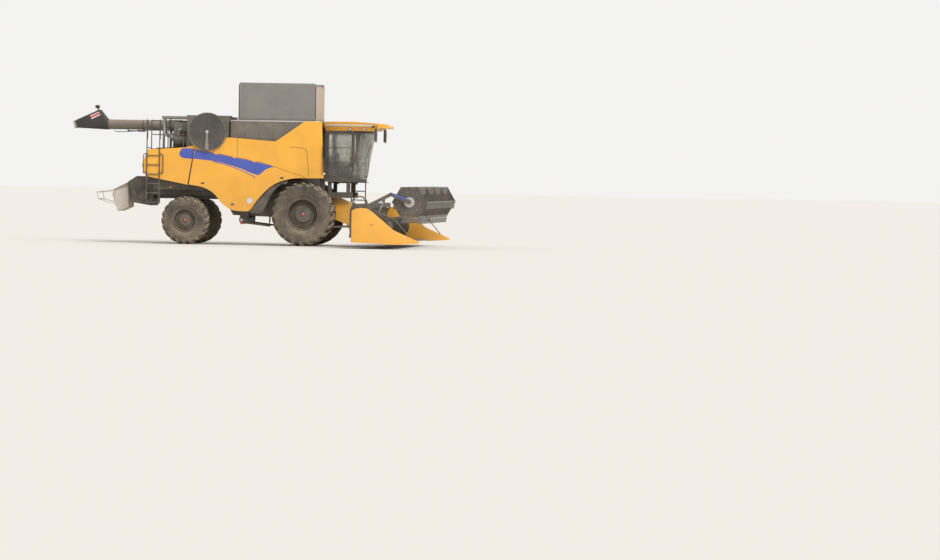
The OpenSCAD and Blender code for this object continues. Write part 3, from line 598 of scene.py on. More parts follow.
def sideStuds(spots, y0, y1, radius):
    return addStuds([((x, y0, z), (x, y1, z)) for x, z in spots], radius)


def smoothLine(points, steps):
    # Smooth curve through the points
    made = []
    for k in range(len(points) - 1):
        a, b, c, d = (Vector(points[min(max(j, 0), len(points) - 1)]) for j in (k - 1, k, k + 1, k + 2))
        for s in range(steps):
            t = s / steps
            made.append(tuple((2 * b + (c - a) * t + (2 * a - 5 * b + 4 * c - d) * t * t
                               + (3 * b - a - 3 * c + d) * t ** 3) / 2))
    return made + [tuple(points[-1])]


panelBodies = ("side_panel_right", "side_panel_left")
coverBodies = ("cover_right", "cover_left")
fixedBodies, headerBodies, armBodies = ("machine",), ("header",), ("reel_arms",)

# Tyres: a carcass of rings, two rows of curved bars and raised rings on the walls
wheelSizes = {
    "front": {"centre": (1.75, 1.35, 1.02), "radius": 1.02, "width": 0.80, "bead": 0.484, "bars": 22,
              "barHeight": 0.052, "barWidth": 0.085, "face": 0.092, "cover": 0.17, "bolts": 12,
              "boltCircle": 0.225, "bolt": 0.021, "cap": 0.042},
    "rear": {"centre": (-2.04, 1.45, 0.767), "radius": 0.767, "width": 0.60, "bead": 0.357, "bars": 20,
             "barHeight": 0.044, "barWidth": 0.066, "face": 0.069, "cover": 0.12, "bolts": 10,
             "boltCircle": 0.155, "bolt": 0.016, "cap": 0.032},
}
# A bar's cross section as (side, share of the width, height) and its run: steps, slant, shoulder
barShape = {"section": [(-1, 0.62, 0), (-1, 0.46, 1), (-1, 0.40, 1.03), (1, 0.40, 1.03), (1, 0.46, 1),
                        (1, 0.62, 0)], "steps": 9, "lean": 34, "shoulder": 0.86, "chamfer": 0.008, "sunk": 0.02}
aboutAxle, outward = (0, 1, 0), (0, -1, 0)


def treadRadius(size, across):
    # Radius of the carcass between the bars at a share of the half width
    return size["radius"] - size["barHeight"] - 0.055 * size["radius"] * abs(across) ** 2.6


def makeCarcass(size):
    radius, half, bead = size["radius"], size["width"] / 2, size["bead"]
    wall = [(bead, 0.70), (bead + 0.012, 0.765), (bead + 0.035, 0.775), (bead + 0.06, 0.80),
            (0.60 * radius, 0.90), (0.66 * radius, 0.965), (0.72 * radius, 0.995), (0.78 * radius, 0.985),
            (0.83 * radius, 0.975), (0.86 * radius, 0.965), (treadRadius(size, 0.97) - 0.012, 0.95),
            (treadRadius(size, 0.92), 0.90), (treadRadius(size, 0.7), 0.7), (treadRadius(size, 0.35), 0.35)]
    profile = [(r, o * half) for r, o in wall] + [(treadRadius(size, 0), 0)]
    profile += [(r, -o * half) for r, o in reversed(wall)]
    inner = [(bead + 0.02, -0.60 * half), (0.66 * radius, -0.80 * half), (0.84 * radius, -0.7 * half),
             (0.84 * radius, 0.7 * half), (0.66 * radius, 0.80 * half), (bead + 0.02, 0.60 * half)]
    return addRings((0, 0, 0), aboutAxle, profile + inner + [profile[0]], 96, close=True)


def barSection(size, t):
    # Corners of a bar's cross section at t of its way from the middle of the tread down the side
    radius, half = size["radius"], size["width"] / 2
    across = -0.06 + 1.03 * min(t / barShape["shoulder"], 1)
    turn = barShape["lean"] / radius * half * (0.25 * t + 0.75 * t ** 1.25)
    drop = max(0.0, t - barShape["shoulder"]) / 0.14
    base = treadRadius(size, min(abs(across), 0.97)) - barShape["sunk"] - 0.10 * radius * drop
    top = radius - 0.030 * radius * abs(min(across, 0.97)) ** 3 - 0.105 * radius * drop
    width = size["barWidth"] * (1.0 + 0.25 * t)
    corners = []
    for side, share, height in barShape["section"]:
        r = {0: base, 1: top - barShape["chamfer"]}.get(height, top)
        a = math.radians(turn) + side * share * width / radius
        corners.append((r * math.sin(a), across * half + (0.012 * drop if height else 0), r * math.cos(a)))
    return corners


def makeBar(size):
    pick()
    bpy.ops.mesh.primitive_plane_add(size=1, location=(0, 0, 0))
    bar = bpy.context.object
    mesh = bmesh.new()
    steps = barShape["steps"]
    rows = [[mesh.verts.new(corner) for corner in barSection(size, k / steps)] for k in range(steps + 1)]
    for one, two in zip(rows, rows[1:]):
        for k in range(5):
            mesh.faces.new((one[k], one[k + 1], two[k + 1], two[k]))
    mesh.faces.new(rows[0][::-1])
    mesh.faces.new(rows[-1])
    bmesh.ops.recalc_face_normals(mesh, faces=mesh.faces)
    mesh.to_mesh(bar.data)
    mesh.free()
    return bar


def makeTyre(size):
    radius, half = size["radius"], size["width"] / 2
    bars = copyAround(makeBar(size), (0, 0, 0), aboutAxle, size["bars"])
    other = mirrored(bars)
    other.data.transform(Matrix.Rotation(math.radians(180 / size["bars"]), 4, "Y"))
    rings = [addTorus(share * radius, 0.007, (72, 6), (0, side * half * across, 0), (math.pi / 2, 0, 0))
             for side in (-1, 1) for share, across in ((0.70, 0.992), (0.615, 0.925))]
    return joined([makeCarcass(size), bars, other] + rings)


# Wheel centres: hub cover, bolt circle with its studs, bright cap and valve
def makeHub(size):
    face, cover, cap, circle = size["face"], size["cover"], size["cap"], size["boltCircle"]
    dome = addRings((0, 0, 0), outward, [(cover - 0.002, face - 0.01), (cover, face + 0.02),
                    (cover - 0.012, face + 0.032), (0.62 * cover, face + 0.036), (0.56 * cover, face + 0.075),
                    (0.44 * cover, face + 0.088), (0.1 * cover, face + 0.09)], 40)
    bolt = addBar((0, -face, circle), (0, -face - 0.026, circle), size["bolt"], 6, 0.003)
    stud = addBar((0, -face - 0.02, circle), (0, -face - 0.048, circle), 0.5 * size["bolt"], 12, 0.002)
    bolts = copyAround(joined([bolt, stud]), (0, 0, 0), aboutAxle, size["bolts"])
    bead, half = size["bead"], size["width"] / 2
    valve = addBar((0.86 * bead, -0.3 * half, 0), (0.80 * bead, -0.62 * half, 0), 0.006, 10)
    button = addRings((0, 0, 0), outward, [(cap, face + 0.08), (cap, face + 0.098), (0.75 * cap, face + 0.106),
                      (0.1 * cap, face + 0.11)], 28)
    return {"cover": painted(dome, "darkPaint"), "bolts": painted(joined([bolts, valve]), "bareSteel"),
            "cap": painted(button, "markerOrange")}


def onWheels(item, size):
    # Copies of a right-hand piece on both wheels of an axle
    x, y, z = size["centre"]
    twins = {"right": copied(item, Matrix.Translation((x, -y, z))),
             "left": copied(item, Matrix.Rotation(math.pi, 4, "Z"), Matrix.Translation((x, y, z)))}
    bpy.data.objects.remove(item)
    return twins.items()


for axle, size in wheelSizes.items():
    for side, tyre in onWheels(makeTyre(size), size):
        place(tyre, f"tyre-{axle}-{side}", f"{axle}_wheel_{side}", "tyreRubber", "rubber", 30)
        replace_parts(tyre, f"tyre_{axle}_{side}")
print("tyres fitted")
for axle, size in wheelSizes.items():
    for part, item in makeHub(size).items():
        for side, twin in onWheels(item, size):
            place(twin, f"hub-{part}-{axle}-{side}", f"{axle}_wheel_{side}", None)
print("hubs fitted")

# Curve of the side panelling, seen from the front
sideShell = {"widest": 1.56, "height": 2.50, "radius": 9.0}


def shellFace(z):
    rise = z - sideShell["height"]
    return sideShell["widest"] - sideShell["radius"] + math.sqrt(sideShell["radius"] ** 2 - rise ** 2)


def addSheet(outline, thickness=0.002, proud=0.0006, face=shellFace, step=0.05):
    # Sheet on the panelling's curve, or on another face
    low, high = min(z for _, z in outline), max(z for _, z in outline)
    rows = [low + k * step for k in range(1, int((high - low) / step) + 1)]
    item = laySheet(outline, rows, lambda x, z: -face(z) - proud, thickness)
    for vertex in item.data.vertices:
        vertex.co.y -= thickness / 2
    return item


def ribbon(points, width):
    # Outline of a band of one width along points in side view
    left, right = [], []
    for k, (x, z) in enumerate(points):
        before, after = points[max(k - 1, 0)], points[min(k + 1, len(points) - 1)]
        along = Vector((after[0] - before[0], after[1] - before[1])).normalized()
        left.append((x - along.y * width / 2, z + along.x * width / 2))
        right.append((x + along.y * width / 2, z - along.x * width / 2))
    return left + right[::-1]


def roundOutline(centre, radius, count=40):
    return [onArc(centre, radius, math.tau * k / count) for k in range(count)]


# Side panels with their wheel arch and low edge, on their hinges, and the arch's inner lining
sidePanel = {
    "crease": [(-3520, 3041), (-1350, 2644), (0, 2208)],
    "arch": smoothLine([(100, 2172), (-140, 2172), (-446, 2140), (-747, 2055), (-1028, 1910), (-1260, 1705),
                        (-1492, 1440), (-1677, 1180), (-1765, 1096)], 4),
    "low": smoothLine([(-1830, 1085), (-2053, 1085), (-2291, 1118), (-2481, 1205), (-2673, 1370), (-2818, 1560),
                       (-2963, 1692), (-3154, 1795), (-3344, 1858), (-3700, 1910)], 4),
    "wall": 0.022, "hinge": (-3520, -1562, 3046.9), "slope": math.radians(10.366), "at": (700, 1300, 1950),
    "pinRadius": 0.012, "halfPin": 0.04, "leaf": ((-0.04, -0.006, -0.04), (0.04, 0.025, 0.0)),
}


def makeSidePanel():
    outline = machine(sidePanel["crease"] + sidePanel["arch"] + sidePanel["low"])
    items = [addSheet(outline, sidePanel["wall"], -sidePanel["wall"])]
    way = Vector((math.cos(sidePanel["slope"]), 0, -math.sin(sidePanel["slope"])))
    for along in sidePanel["at"]:
        spot = spotOf(*sidePanel["hinge"]) + way * along / 1000
        items.append(addBar(spot - way * sidePanel["halfPin"], spot + way * sidePanel["halfPin"],
                            sidePanel["pinRadius"], 16, 0.002))
        leaf = addBlock(*sidePanel["leaf"], 0.002)
        leaf.data.transform(Matrix.Translation(spot) @ Matrix.Rotation(sidePanel["slope"], 4, "Y"))
        items.append(leaf)
    return joined(items)


bothSides(makeSidePanel(), "sidePanel", panelBodies, "yellowPaint", "yellow_paint")
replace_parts(bpy.data.objects["sidePanelRight"], "side_panel_right")
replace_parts(bpy.data.objects["sidePanelLeft"], "side_panel_left")
archLining = {"twin": True, "edge": 2, "blocks": [((-1300, 865, 1600), (-1250, 1410, 1650))], "plates": [
    ([(x + 20, z - 22) for x, z in sidePanel["arch"] if x < -100 and z > 1120]
     + [(-1742, 1050), (-1640, 1020), (-1330, 1020)]
     + [onArc((-30, 1000), 1190, math.radians(a)) for a in range(150, 96, -6)] + [(-110, 2150)], 1400, 1480)]}
lining = place(addForm(archLining), "archLining", "machine", "blackPlastic", "black_plastic")
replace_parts(lining, "fenders")

# Stripes and round blank on the side panels
stripes = {
    "broadFront": [(-3508, 3031), (-2600, 2865), (-1750, 2709), (-1350, 2628), (-1150, 2575), (-984, 2527),
                   (-1218, 2435), (-1358, 2316), (-1463, 2240), (-1610, 2283), (-1760, 2334), (-2021, 2447),
                   (-2259, 2520), (-2639, 2624), (-3018, 2690), (-3445, 2728), (-3560, 2733)],
    "broadRear": [(-3545, 3038), (-3700, 3064), (-3885, 3070), (-3962, 3030), (-4016, 2940), (-4015, 2859),
                  (-3966, 2785), (-3880, 2752), (-3800, 2741), (-3597, 2735)],
    "thin": [(-2923, 2655), (-2600, 2585), (-2306, 2501), (-2040, 2402), (-1782, 2287), (-1544, 2169)],
    "thinWidth": 0.024, "blank": (-1733, 1420), "blankRadius": 0.098, "blankRim": 0.006,
}
for name, bodies, outline in (
        ("stripeBroad", panelBodies, machine(stripes["broadFront"])),
        ("stripeRear", fixedBodies, machine(stripes["broadRear"])),
        ("stripeThin", panelBodies, ribbon(machine(stripes["thin"]), stripes["thinWidth"]))):
    bothSides(addSheet(outline), name, bodies, "stripeBlue", "yellow_paint")
blankAt = machine([stripes["blank"]])[0]
bothSides(addSheet(roundOutline(blankAt, stripes["blankRadius"] + stripes["blankRim"])), "roundBlankRim",
          panelBodies, "seamBlack", "black_plastic")
bothSides(addSheet(roundOutline(blankAt, stripes["blankRadius"]), proud=0.003), "roundBlank", panelBodies,
          "plateWhite", "pale_sheet")
print("stripes laid on the panels")

# Rubber seal between rear panel and side panel, with its clips, and the joints of the shoulder panels
seams = {"seal": [(-3537, 3042), (-3632, 2480), (-3730, 1915)], "sealWidth": 0.022, "clips": 15,
         "joint": [(-480, 3160), (-250, 3156), (-46, 3130), (40, 3104), (76, 3060), (104, 2860), (131, 2647),
                   (150, 2430), (160, 2235)], "jointWidth": 0.013,
         "cover": [(-2150, 3418), (-2150, 2812)], "coverWidth": 0.010}
seal = machine(seams["seal"])
bothSides(addSheet(ribbon(seal, seams["sealWidth"]), 0.006), "panelSeal", fixedBodies, "seamBlack",
          "black_plastic")
sealStart, sealEnd = (Vector((x, 0, z)) for x, z in (seal[0], seal[-1]))
clips = []
for k in range(seams["clips"]):
    x, _, z = sealStart.lerp(sealEnd, (k + 0.5) / seams["clips"])
    y = -shellFace(z)
    clips.append(addBlock((x - 0.014, y - 0.011, z - 0.019), (x + 0.014, y - 0.004, z + 0.019), 0.003))
bothSides(joined(clips), "sealClips", fixedBodies, "seamBlack", "black_plastic")
joint = addSheet(ribbon(machine(seams["joint"]), seams["jointWidth"]), 0.002)
place(joint, "shoulderJoint", "machine", "seamBlack", "black_plastic")
bothSides(addSheet(ribbon(machine(seams["cover"]), seams["coverWidth"]), 0.0015), "shoulderGap", fixedBodies,
          "seamBlack", "black_plastic")

# Screws, latches and reflectors
fixings = {
    "shoulder": [(-3600, 3120), (-3250, 3070), (-2520, 2935), (-1900, 2820), (-1250, 2690), (-860, 2575),
                 (-420, 2440), (-560, 3300), (-1300, 3300), (-2200, 3360)],
    "rear": [(-4960, 2980), (-4500, 3010), (-4100, 3036), (-5000, 2220), (-4560, 2190), (-4180, 2095),
             (-3800, 1960), (-5110, 2700), (-5140, 2450)],
    "front": [(250, 2300), (250, 2600), (250, 2900), (250, 3200), (250, 3500), (250, 3800), (560, 2300),
              (530, 3400), (520, 3700), (60, 3900)],
    "radius": 0.013, "head": 0.006, "latches": [(-2290, 1300), (-3250, 1960), (-700, 2170)],
}


def addScrews(spots):
    made, radius, head = [], fixings["radius"], fixings["head"]
    for x, z in machine(spots):
        y = -shellFace(z)
        made += [addBar((x, y + 0.002, z), (x, y - head, z), radius, 12, 0.002),
                 addBar((x, y - head + 0.0005, z), (x, y - head - 0.0025, z), 0.5 * radius, 6)]
    return joined(made)


for group in ("shoulder", "rear"):
    bothSides(addScrews(fixings[group]), group + "Screws", fixedBodies, "yellowPaint", "yellow_paint")
place(addScrews(fixings["front"]), "cabSideScrews", "machine", "yellowPaint", "yellow_paint")
latches = []
for x, z in machine(fixings["latches"]):
    y = -shellFace(z)
    latches += [addBlock((x - 0.055, y - 0.006, z - 0.03), (x + 0.055, y + 0.004, z + 0.03), 0.006),
                addRings((x - 0.02, y - 0.005, z), outward, [(0.022, 0), (0.022, 0.004), (0.016, 0.006),
                                                             (0.004, 0.006)], 24),
                addBlock((x + 0.012, y - 0.016, z - 0.018), (x + 0.045, y - 0.004, z + 0.018), 0.005)]
bothSides(joined(latches), "panelLatches", panelBodies, "blackPlastic", "black_plastic")

# Name, centre, half length, half height and finish of each reflector
reflectors = [("amber", (-2.564, -1.3, 1.815), 0.05, 0.022, "lampAmber"),
              ("amberFront", (-1.2, -1.3, 1.83), 0.05, 0.022, "lampAmber"),
              ("boot", (-0.30, -1.014, 0.80), 0.045, 0.045, "plateWhite"),
              ("bootRed", (-0.30, -1.014, 0.69), 0.04, 0.03, "markerOrange")]
for name, (x, y, z), halfX, halfZ, finish in reflectors:
    lens = addBlock((x - halfX, y - 0.012, z - halfZ), (x + halfX, y - 0.001, z + halfZ), 0.005, 3)
    bothSides(lens, "reflector_" + name, fixedBodies, finish, "lamp_glass")
print("seams, screws and reflectors fitted")

# Tank covers: ribbed sheets with a turned edge, on the body of each cover
covers = {"x": (-0.395, 2.035), "y": 1.19, "half": 0.0072, "z": (4.075, 5.195), "pitch": 0.0305, "rib": 0.013,
          "proud": 0.005, "edge": 0.045}


def makeCover():
    (x0, x1), (z0, z1), edge = covers["x"], covers["z"], covers["edge"]
    outer, inner = -covers["y"] - covers["half"], -covers["y"] + covers["half"]
    count = int((z1 - z0 - 2 * edge) / covers["pitch"])
    faces = []
    for low, high in ((outer - covers["proud"], outer + 0.001), (inner - 0.001, inner + covers["proud"])):
        rib = addBlock((x0 + edge, low, z0 + edge + 0.01), (x1 - edge, high, z0 + edge + 0.01 + covers["rib"]),
                       0.004, 1)
        faces.append(inRow(rib, count, (0, 0, covers["pitch"])))
        for xa, za, xb, zb in ((x0, z0, x1, z0 + edge), (x0, z1 - edge, x1, z1),
                               (x0, z0 + edge, x0 + edge, z1 - edge), (x1 - edge, z0 + edge, x1, z1 - edge)):
            faces.append(addBlock((xa, low - 0.001, za), (xb, high + 0.001, zb)))
    return joined(faces)


bothSides(makeCover(), "coverSheet", coverBodies, "coverPaint", "tank_paint", 25)
coverBolts = [(-0.36 + k * 0.297, z) for k in range(9) for z in (4.097, 5.172)]
bothSides(sideStuds(coverBolts, -1.2, -1.211, 0.011), "coverBolts", coverBodies, "bareSteel", "bare_steel")

# End flaps: a stiff sheet with battens and a hem, and seals to the covers
flaps = {"front": 2.067, "rear": -0.427, "half": 0.0072, "y": 1.14, "z": (4.06, 5.12),
         "battens": (-0.86, -0.43, 0.0, 0.43, 0.86)}
for name, inward in (("front", -1), ("rear", 1)):
    x, strips = flaps[name], []
    for side in (-1, 1):
        face = x + side * flaps["half"]
        low, high = sorted((face - side * 0.001, face + side * 0.005))
        for y in flaps["battens"]:
            strips.append(addBlock((low, y - 0.03, flaps["z"][0]), (high, y + 0.03, flaps["z"][1]), 0.003))
        for z, above in zip(flaps["z"], (0.03, 0)):
            strips.append(addBlock((low, -flaps["y"], z - 0.03), (high + 0.001, flaps["y"], z + above), 0.003))
    place(joined(strips), "flapBattens_" + name, "flap_" + name, "flapBatten", "flap_sheet")
    low, high = sorted((x + inward * 0.029, x + inward * 0.006))
    seal = addBlock((low, -1.174, 4.075), (high, -1.148, 5.16), 0.003)
    place(joined([seal, mirrored(seal)]), "flapSeals_" + name, "flap_" + name, "beltRubber", "rubber")

# Pale strip along the tank's lip (a galvanised edge, its paleness also a painted highlight of the lip), the tank's
# ribs with their bolts, and the filling auger
lip = [addBlock((-0.66, y, 3.955), (2.242, y + 0.018, 4.003)) for y in (-1.389, 1.371)]
place(joined(lip), "tankLipStrips", "machine", "lipEdgeAndHighlight", "bare_steel")
tankRibs = {"twin": True, "blocks": [((-2415, -1385, 3950), (495, -1369, 3990))]
            + [((x, -1380, 3420), (x + 40, -1369, 3950)) for x in (-1950, -1500, -1050, -600)]}
place(addForm(tankRibs), "tankRibs", "machine", "tankPaint", "tank_paint")
fillAuger = {"rods": [((-1000, 0, 2328), (-760, 0, 3500), 120), ((-760, 0, 3500), (-720, 0, 3700), 165)]}
place(addForm(fillAuger), "fillingAuger", "machine", "tankPaint", "tank_paint")
ribBolts = [(-0.18 + 0.45 * k, z) for k in range(4) for z in (3.47, 3.70, 3.90)]
bothSides(sideStuds(ribBolts, -1.379, -1.387, 0.010), "tankRibBolts", fixedBodies, "bareSteel", "bare_steel")

# Dust screen: rim band, rivets, sieve, spokes, hub nut and the duct's cover
screen = {"centre": (-1.37, -1.64, 3.605), "rivets": 30, "spokes": 6,
          "band": [(0.596, -0.002), (0.598, 0.006), (0.604, 0.008), (0.610, 0.006), (0.612, -0.002)],
          "duct": [(-0.028, 0.0), (-0.064, -0.54), (-0.056, -0.583), (0.056, -0.583), (0.064, -0.54),
                   (0.028, 0.0)]}
x, y, z = screen["centre"]
place(addRings((x, y, z), outward, screen["band"], 96), "screenBand", "dust_screen", "ductGrey", "bare_steel")
rivet = addBar((x + 0.582, y + 0.002, z), (x + 0.582, y - 0.006, z), 0.007, 8, 0.0015)
place(copyAround(rivet, (x, y, z), aboutAxle, screen["rivets"]), "screenRivets", "dust_screen", "bareSteel",
      "bare_steel")
duct = addSheet([(x + dx, z + dz) for dx, dz in screen["duct"]], 0.003, 0.0, lambda height: 1.6725, 0.2)
place(duct, "ductCover", "machine", "ductGrey", "tank_paint")
sieve = [addRings((x, -1.627, z), outward, [(inner, 0), (inner, 0.009), (outer, 0.009), (outer, 0)], 72)
         for inner, outer in ((0.10, 0.34), (0.365, 0.592))]
spoke = addBar((x, -1.638, z + 0.08), (x, -1.638, z + 0.595), 0.009, 8)
place(joined(sieve), "screenSieve", "dust_screen", "sieve", "dark_paint")
place(copyAround(spoke, (x, 0, z), aboutAxle, screen["spokes"]), "screenSpokes", "dust_screen", "darkPaint",
      "dark_paint")
nut = addRings((x, -1.672, z), outward, [(0.03, 0), (0.03, 0.014), (0.024, 0.018), (0.004, 0.018)], 6)
washer = addRings((x, -1.672, z), outward, [(0.052, 0), (0.052, 0.004), (0.03, 0.006), (0.004, 0.006)], 32)
place(joined([nut, washer]), "screenNut", "machine", "cleanSteel", "bare_steel")
print("covers, flaps and screen dressed")

# Back of the body: cover with its louvres, and the housings of the tail lamps
rearEdge = [(-5050, 3010), (-5220, 2500), (-5100, 2160)]
rearCover = {"edge": 2, "plates": [(rearEdge + [(x + 25, z) for x, z in reversed(rearEdge)], -1528, 1528)]}
place(addForm(rearCover), "rearCover", "machine", "yellowPaint", "yellow_paint")
louvre = {"rows": range(2560, 2881, 80), "columns": (-1320, -670, 150, 800), "width": 520}
slots, hoods = [], []
for z in louvre["rows"]:
    x = -5220 + (z - 2500) / 3
    for y in louvre["columns"]:
        slots.append(((x - 3, y, z), (x + 12, y + louvre["width"], z + 35)))
        hoods.append(((x - 35, y - 8, z + 30), (x + 17, y + louvre["width"] + 8, z + 38)))
place(addForm({"edge": 1, "blocks": slots}), "rearLouvres", "machine", "seamBlack", "black_plastic")
place(addForm({"blocks": hoods}), "louvreHoods", "machine", "yellowPaint", "yellow_paint")
lampHousing = {"twin": True, "edge": 6, "plates": [
    ([(-5128, 2240), (-5188, 2410), (-5218, 2410), (-5158, 2240)], 1190, 1410)]}
place(addForm(lampHousing), "tailLampHousings", "machine", "blackPlastic", "black_plastic")

# Rails round the deck and the ladder, whose stiles run up as handrails with hoops behind them
rails = {"edge": 1, "pipes": [
    ([(-3900, -1470, 3040), (-3900, -1470, 3950), (-4400, -1470, 3950), (-4400, -1470, 3040)], 17),
    ([(-4930, -1470, 3040), (-4930, -1470, 3950), (-4930, 1390, 3950), (-3900, 1390, 3950),
      (-3900, 1390, 3040)], 17)],
    "rods": [((-4400, -1470, 3500), (-3900, -1470, 3500), 14), ((-4930, -1470, 3500), (-4930, 1390, 3500), 14),
             ((-4930, 1390, 3500), (-3900, 1390, 3500), 14), ((-4930, 1390, 3040), (-4930, 1390, 3950), 17),
             ((-4400, 1390, 3040), (-4400, 1390, 3950), 17), ((-4650, -1590, 3080), (-4650, -1470, 3045), 14),
             ((-5060, -1590, 3080), (-4940, -1480, 3045), 14)],
    "blocks": [((-5060, -1606, z - 12), (-4650, -1574, z + 12)) for z in range(1320, 3000, 300)]}
for x, out in ((-5060, -5170), (-4650, -4540)):
    rails["pipes"] += [
        ([(x, -1590, 1280), (x, -1590, 3960), (x, -1478, 3960), (x, -1478, 3330), (x, -1590, 3330)], 17),
        ([(x, -1590, 2900), (out, -1590, 2850), (out, -1590, 2235), (x, -1590, 2290)], 14)]
rails["pipes"].append(([(600, -1545, 2320), (600, -1612, 2320), (600, -1612, 3230), (600, -1530, 3230)], 12))
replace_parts(place(addForm(rails), "railsAndLadder", "machine", "darkPaint", "dark_paint"), "rails_and_ladder")

# Engine bay: hood on its posts, exhaust, cradle of the unloading tube and the air cleaner
engineHood = {"edge": 4, "blocks": [
    ((-4720, -640, 4080), (-2480, 1000, 4100)), ((-4720, -640, 4010), (-2480, -620, 4085)),
    ((-4720, 980, 4010), (-2480, 1000, 4085)), ((-4720, -640, 4010), (-4700, 1000, 4085)),
    ((-2500, -640, 4010), (-2480, 1000, 4085))]
    + [((x, y, 3038), (x + 40, y + 40, 4085)) for x in (-4700, -2540) for y in (-620, 940)]}
exhaust = {"edge": 8, "rods": [((-4620, 780, 3440), (-4060, 780, 3440), 130)],
           "pipes": [([(-4560, 780, 3440), (-4800, 780, 3500), (-4830, 780, 4060)], 55)],
           "blocks": [((x, 700, 3038), (x + 40, 860, 3330)) for x in (-4560, -4180)]}
cradle = {"blocks": [((-4740, 1406, 3038), (-4690, 1450, 3600)), ((-4740, 1406, 3600), (-4690, 1760, 3652))]}
cleaner = {"edge": 10, "rods": [
    ((-4230, -1150, 3280), (-3812, -1150, 3280), 160), ((-4262, -1150, 3280), (-4229, -1150, 3280), 125),
    ((-4120, -1150, 3400), (-4120, -900, 3600), 65)], "blocks": [((-4100, -1200, 3040), (-3980, -1100, 3140))]}
place(addForm(engineHood), "engineHood", "machine", "ductGrey", "dark_paint")
place(addForm(exhaust), "exhaust", "machine", "bareSteel", "bare_steel")
place(addForm(cradle), "tubeCradle", "machine", "darkPaint", "dark_paint")
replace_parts(place(addForm(cleaner), "airCleaner", "machine", "blackPlastic", "black_plastic"), "air_cleaner")

# Chopper's bearings and drive, and the tail: deflector, vanes that fan out and the tubular guard
chopper = {"twin": True, "edge": 5,
           "rods": [((-5260, 748, 1560), (-5260, 775, 1560), 150), ((-5260, 774, 1560), (-5260, 830, 1560), 60)],
           "plates": [([(-4960, 1320), (-4960, 1350), (-5740, 1800), (-5750, 1760)], 748, 762),
                      ([(-4990, 2100), (-5000, 2130), (-5520, 2130), (-5520, 2100)], 748, 762)]}
place(addForm(chopper), "chopperBearings", "machine", "darkPaint", "dark_paint")
pulley = addRings(spotOf(-5260, -829, 1560), outward, [
    (0.15, 0), (0.17, 0.004), (0.156, 0.025), (0.17, 0.047), (0.15, 0.051), (0.14, 0.04), (0.05, 0.036),
    (0.045, 0.052)], 48)
place(pulley, "chopperPulley", "machine", "darkPaint", "dark_paint")
tail = {"vane": [(0, 1.945), (-0.455, 1.70), (-0.52, 1.56), (-0.33, 1.01), (0.01, 1.15)], "apart": 200, "fan": 5,
        "deflector": {"edge": 2, "plates": [
            ([(-5774, 1962), (-6260, 1708), (-6268, 1690), (-5770, 1946)], -780, 780)]},
        "guard": {"twin": True, "edge": 2, "pipes": [
            ([(-6160, 775, 1225), (-6225, 775, 1695), (-6810, 600, 1615), (-6750, 600, 1392),
              (-6160, 775, 1225)], 14)],
            "rods": [((-6810, -600, 1616), (-6810, 600, 1616), 14), ((-6747, -600, 1392), (-6747, 600, 1392), 14),
                     ((-6158, -775, 1226), (-6158, 775, 1226), 12)]}}


def makeTail():
    items = [addForm(tail["deflector"])]
    for k in range(-3, 4):
        vane = addProfile(tail["vane"], -0.005, 0.005, 0.002)
        vane.data.transform(Matrix.Translation(spotOf(-5790, tail["apart"] * k, 0))
                            @ Matrix.Rotation(math.radians(-tail["fan"] * k), 4, "Z"))
        items.append(vane)
    return joined(items + [addForm(tail["guard"])])


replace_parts(place(makeTail(), "tailVanes", "machine", "paleSheet", "bare_steel"), "tail_vanes")

# Clean-grain elevators with their cross auger, drain pipes, and the belt drives behind the side panels
elevator = {"twin": True, "edge": 4, "rods": [
    ((-1990, 0, 810), (-1990, 870, 810), 115), ((-1990, 868, 810), (-1990, 1014, 810), 140),
    ((-1990, 940, 720), (-1120, 940, 625), 30), ((-1150, 940, 628), (-1150, 940, 770), 14)],
    "plates": [([(-2120, 830), (-1860, 830), (-1500, 2597), (-1740, 2597)], 870, 1010)],
    "blocks": [((-1175, 866, 740), (-1125, 960, 770)), ((-1175, 866, 740), (-1125, 880, 1560))]}
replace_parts(place(addForm(elevator), "grainElevators", "machine", "darkPaint", "dark_paint"), "elevators")
items = []
for x, z, r in ((-700, 2080, 0.11), (-1180, 1960, 0.19), (-2380, 1900, 0.23)):
    items.append(addBar(spotOf(x, 755, z), spotOf(x, 925, z), 0.03))
    items.append(addRings(spotOf(x, 875, z), aboutAxle, [(0.8 * r, 0), (r, 0.002), (0.93 * r, 0.02), (r, 0.038),
                                                         (0.8 * r, 0.04)], 40))
drives = joined(items)
place(joined([drives, mirrored(drives)]), "drivePulleys", "machine", "bareSteel", "bare_steel")

# Unloading tube: bolted flanges, and the cylinder that turns the spout, on its brackets
tube = {"edge": 4, "rods": [((x, 1590, 3820), (x - 30, 1590, 3820), 172) for x in (-220, -2300, -4360, -6760)]
        + [((-5600, 1590, 3620), (-5850, 1590, 3620), 30), ((-5850, 1590, 3620), (-6160, 1590, 3620), 16)],
        "blocks": [((x, 1582, 3600), (x + 40, 1598, 3670)) for x in (-5620, -6180)]}
place(addForm(tube), "tubeFlanges", "unloading_auger", "tankPaint", "tank_paint")

# Spout: a hull over the tube's end, the knuckle above it and the mouth's corners, hollowed towards the mouth
spoutForm = {"at": (-6800, 1590, 3820), "tube": 0.172, "knuckle": (-0.29, 0.415), "knuckleRadius": 0.06,
             "half": 0.12, "mouthHalf": 0.15, "wall": 0.012, "open": 0.09,
             "lamp": {"edge": 8, "blocks": [((-7180, 1570, 4260), (-7140, 1610, 4350)),
                                            ((-7230, 1525, 4340), (-7110, 1655, 4440))]}}


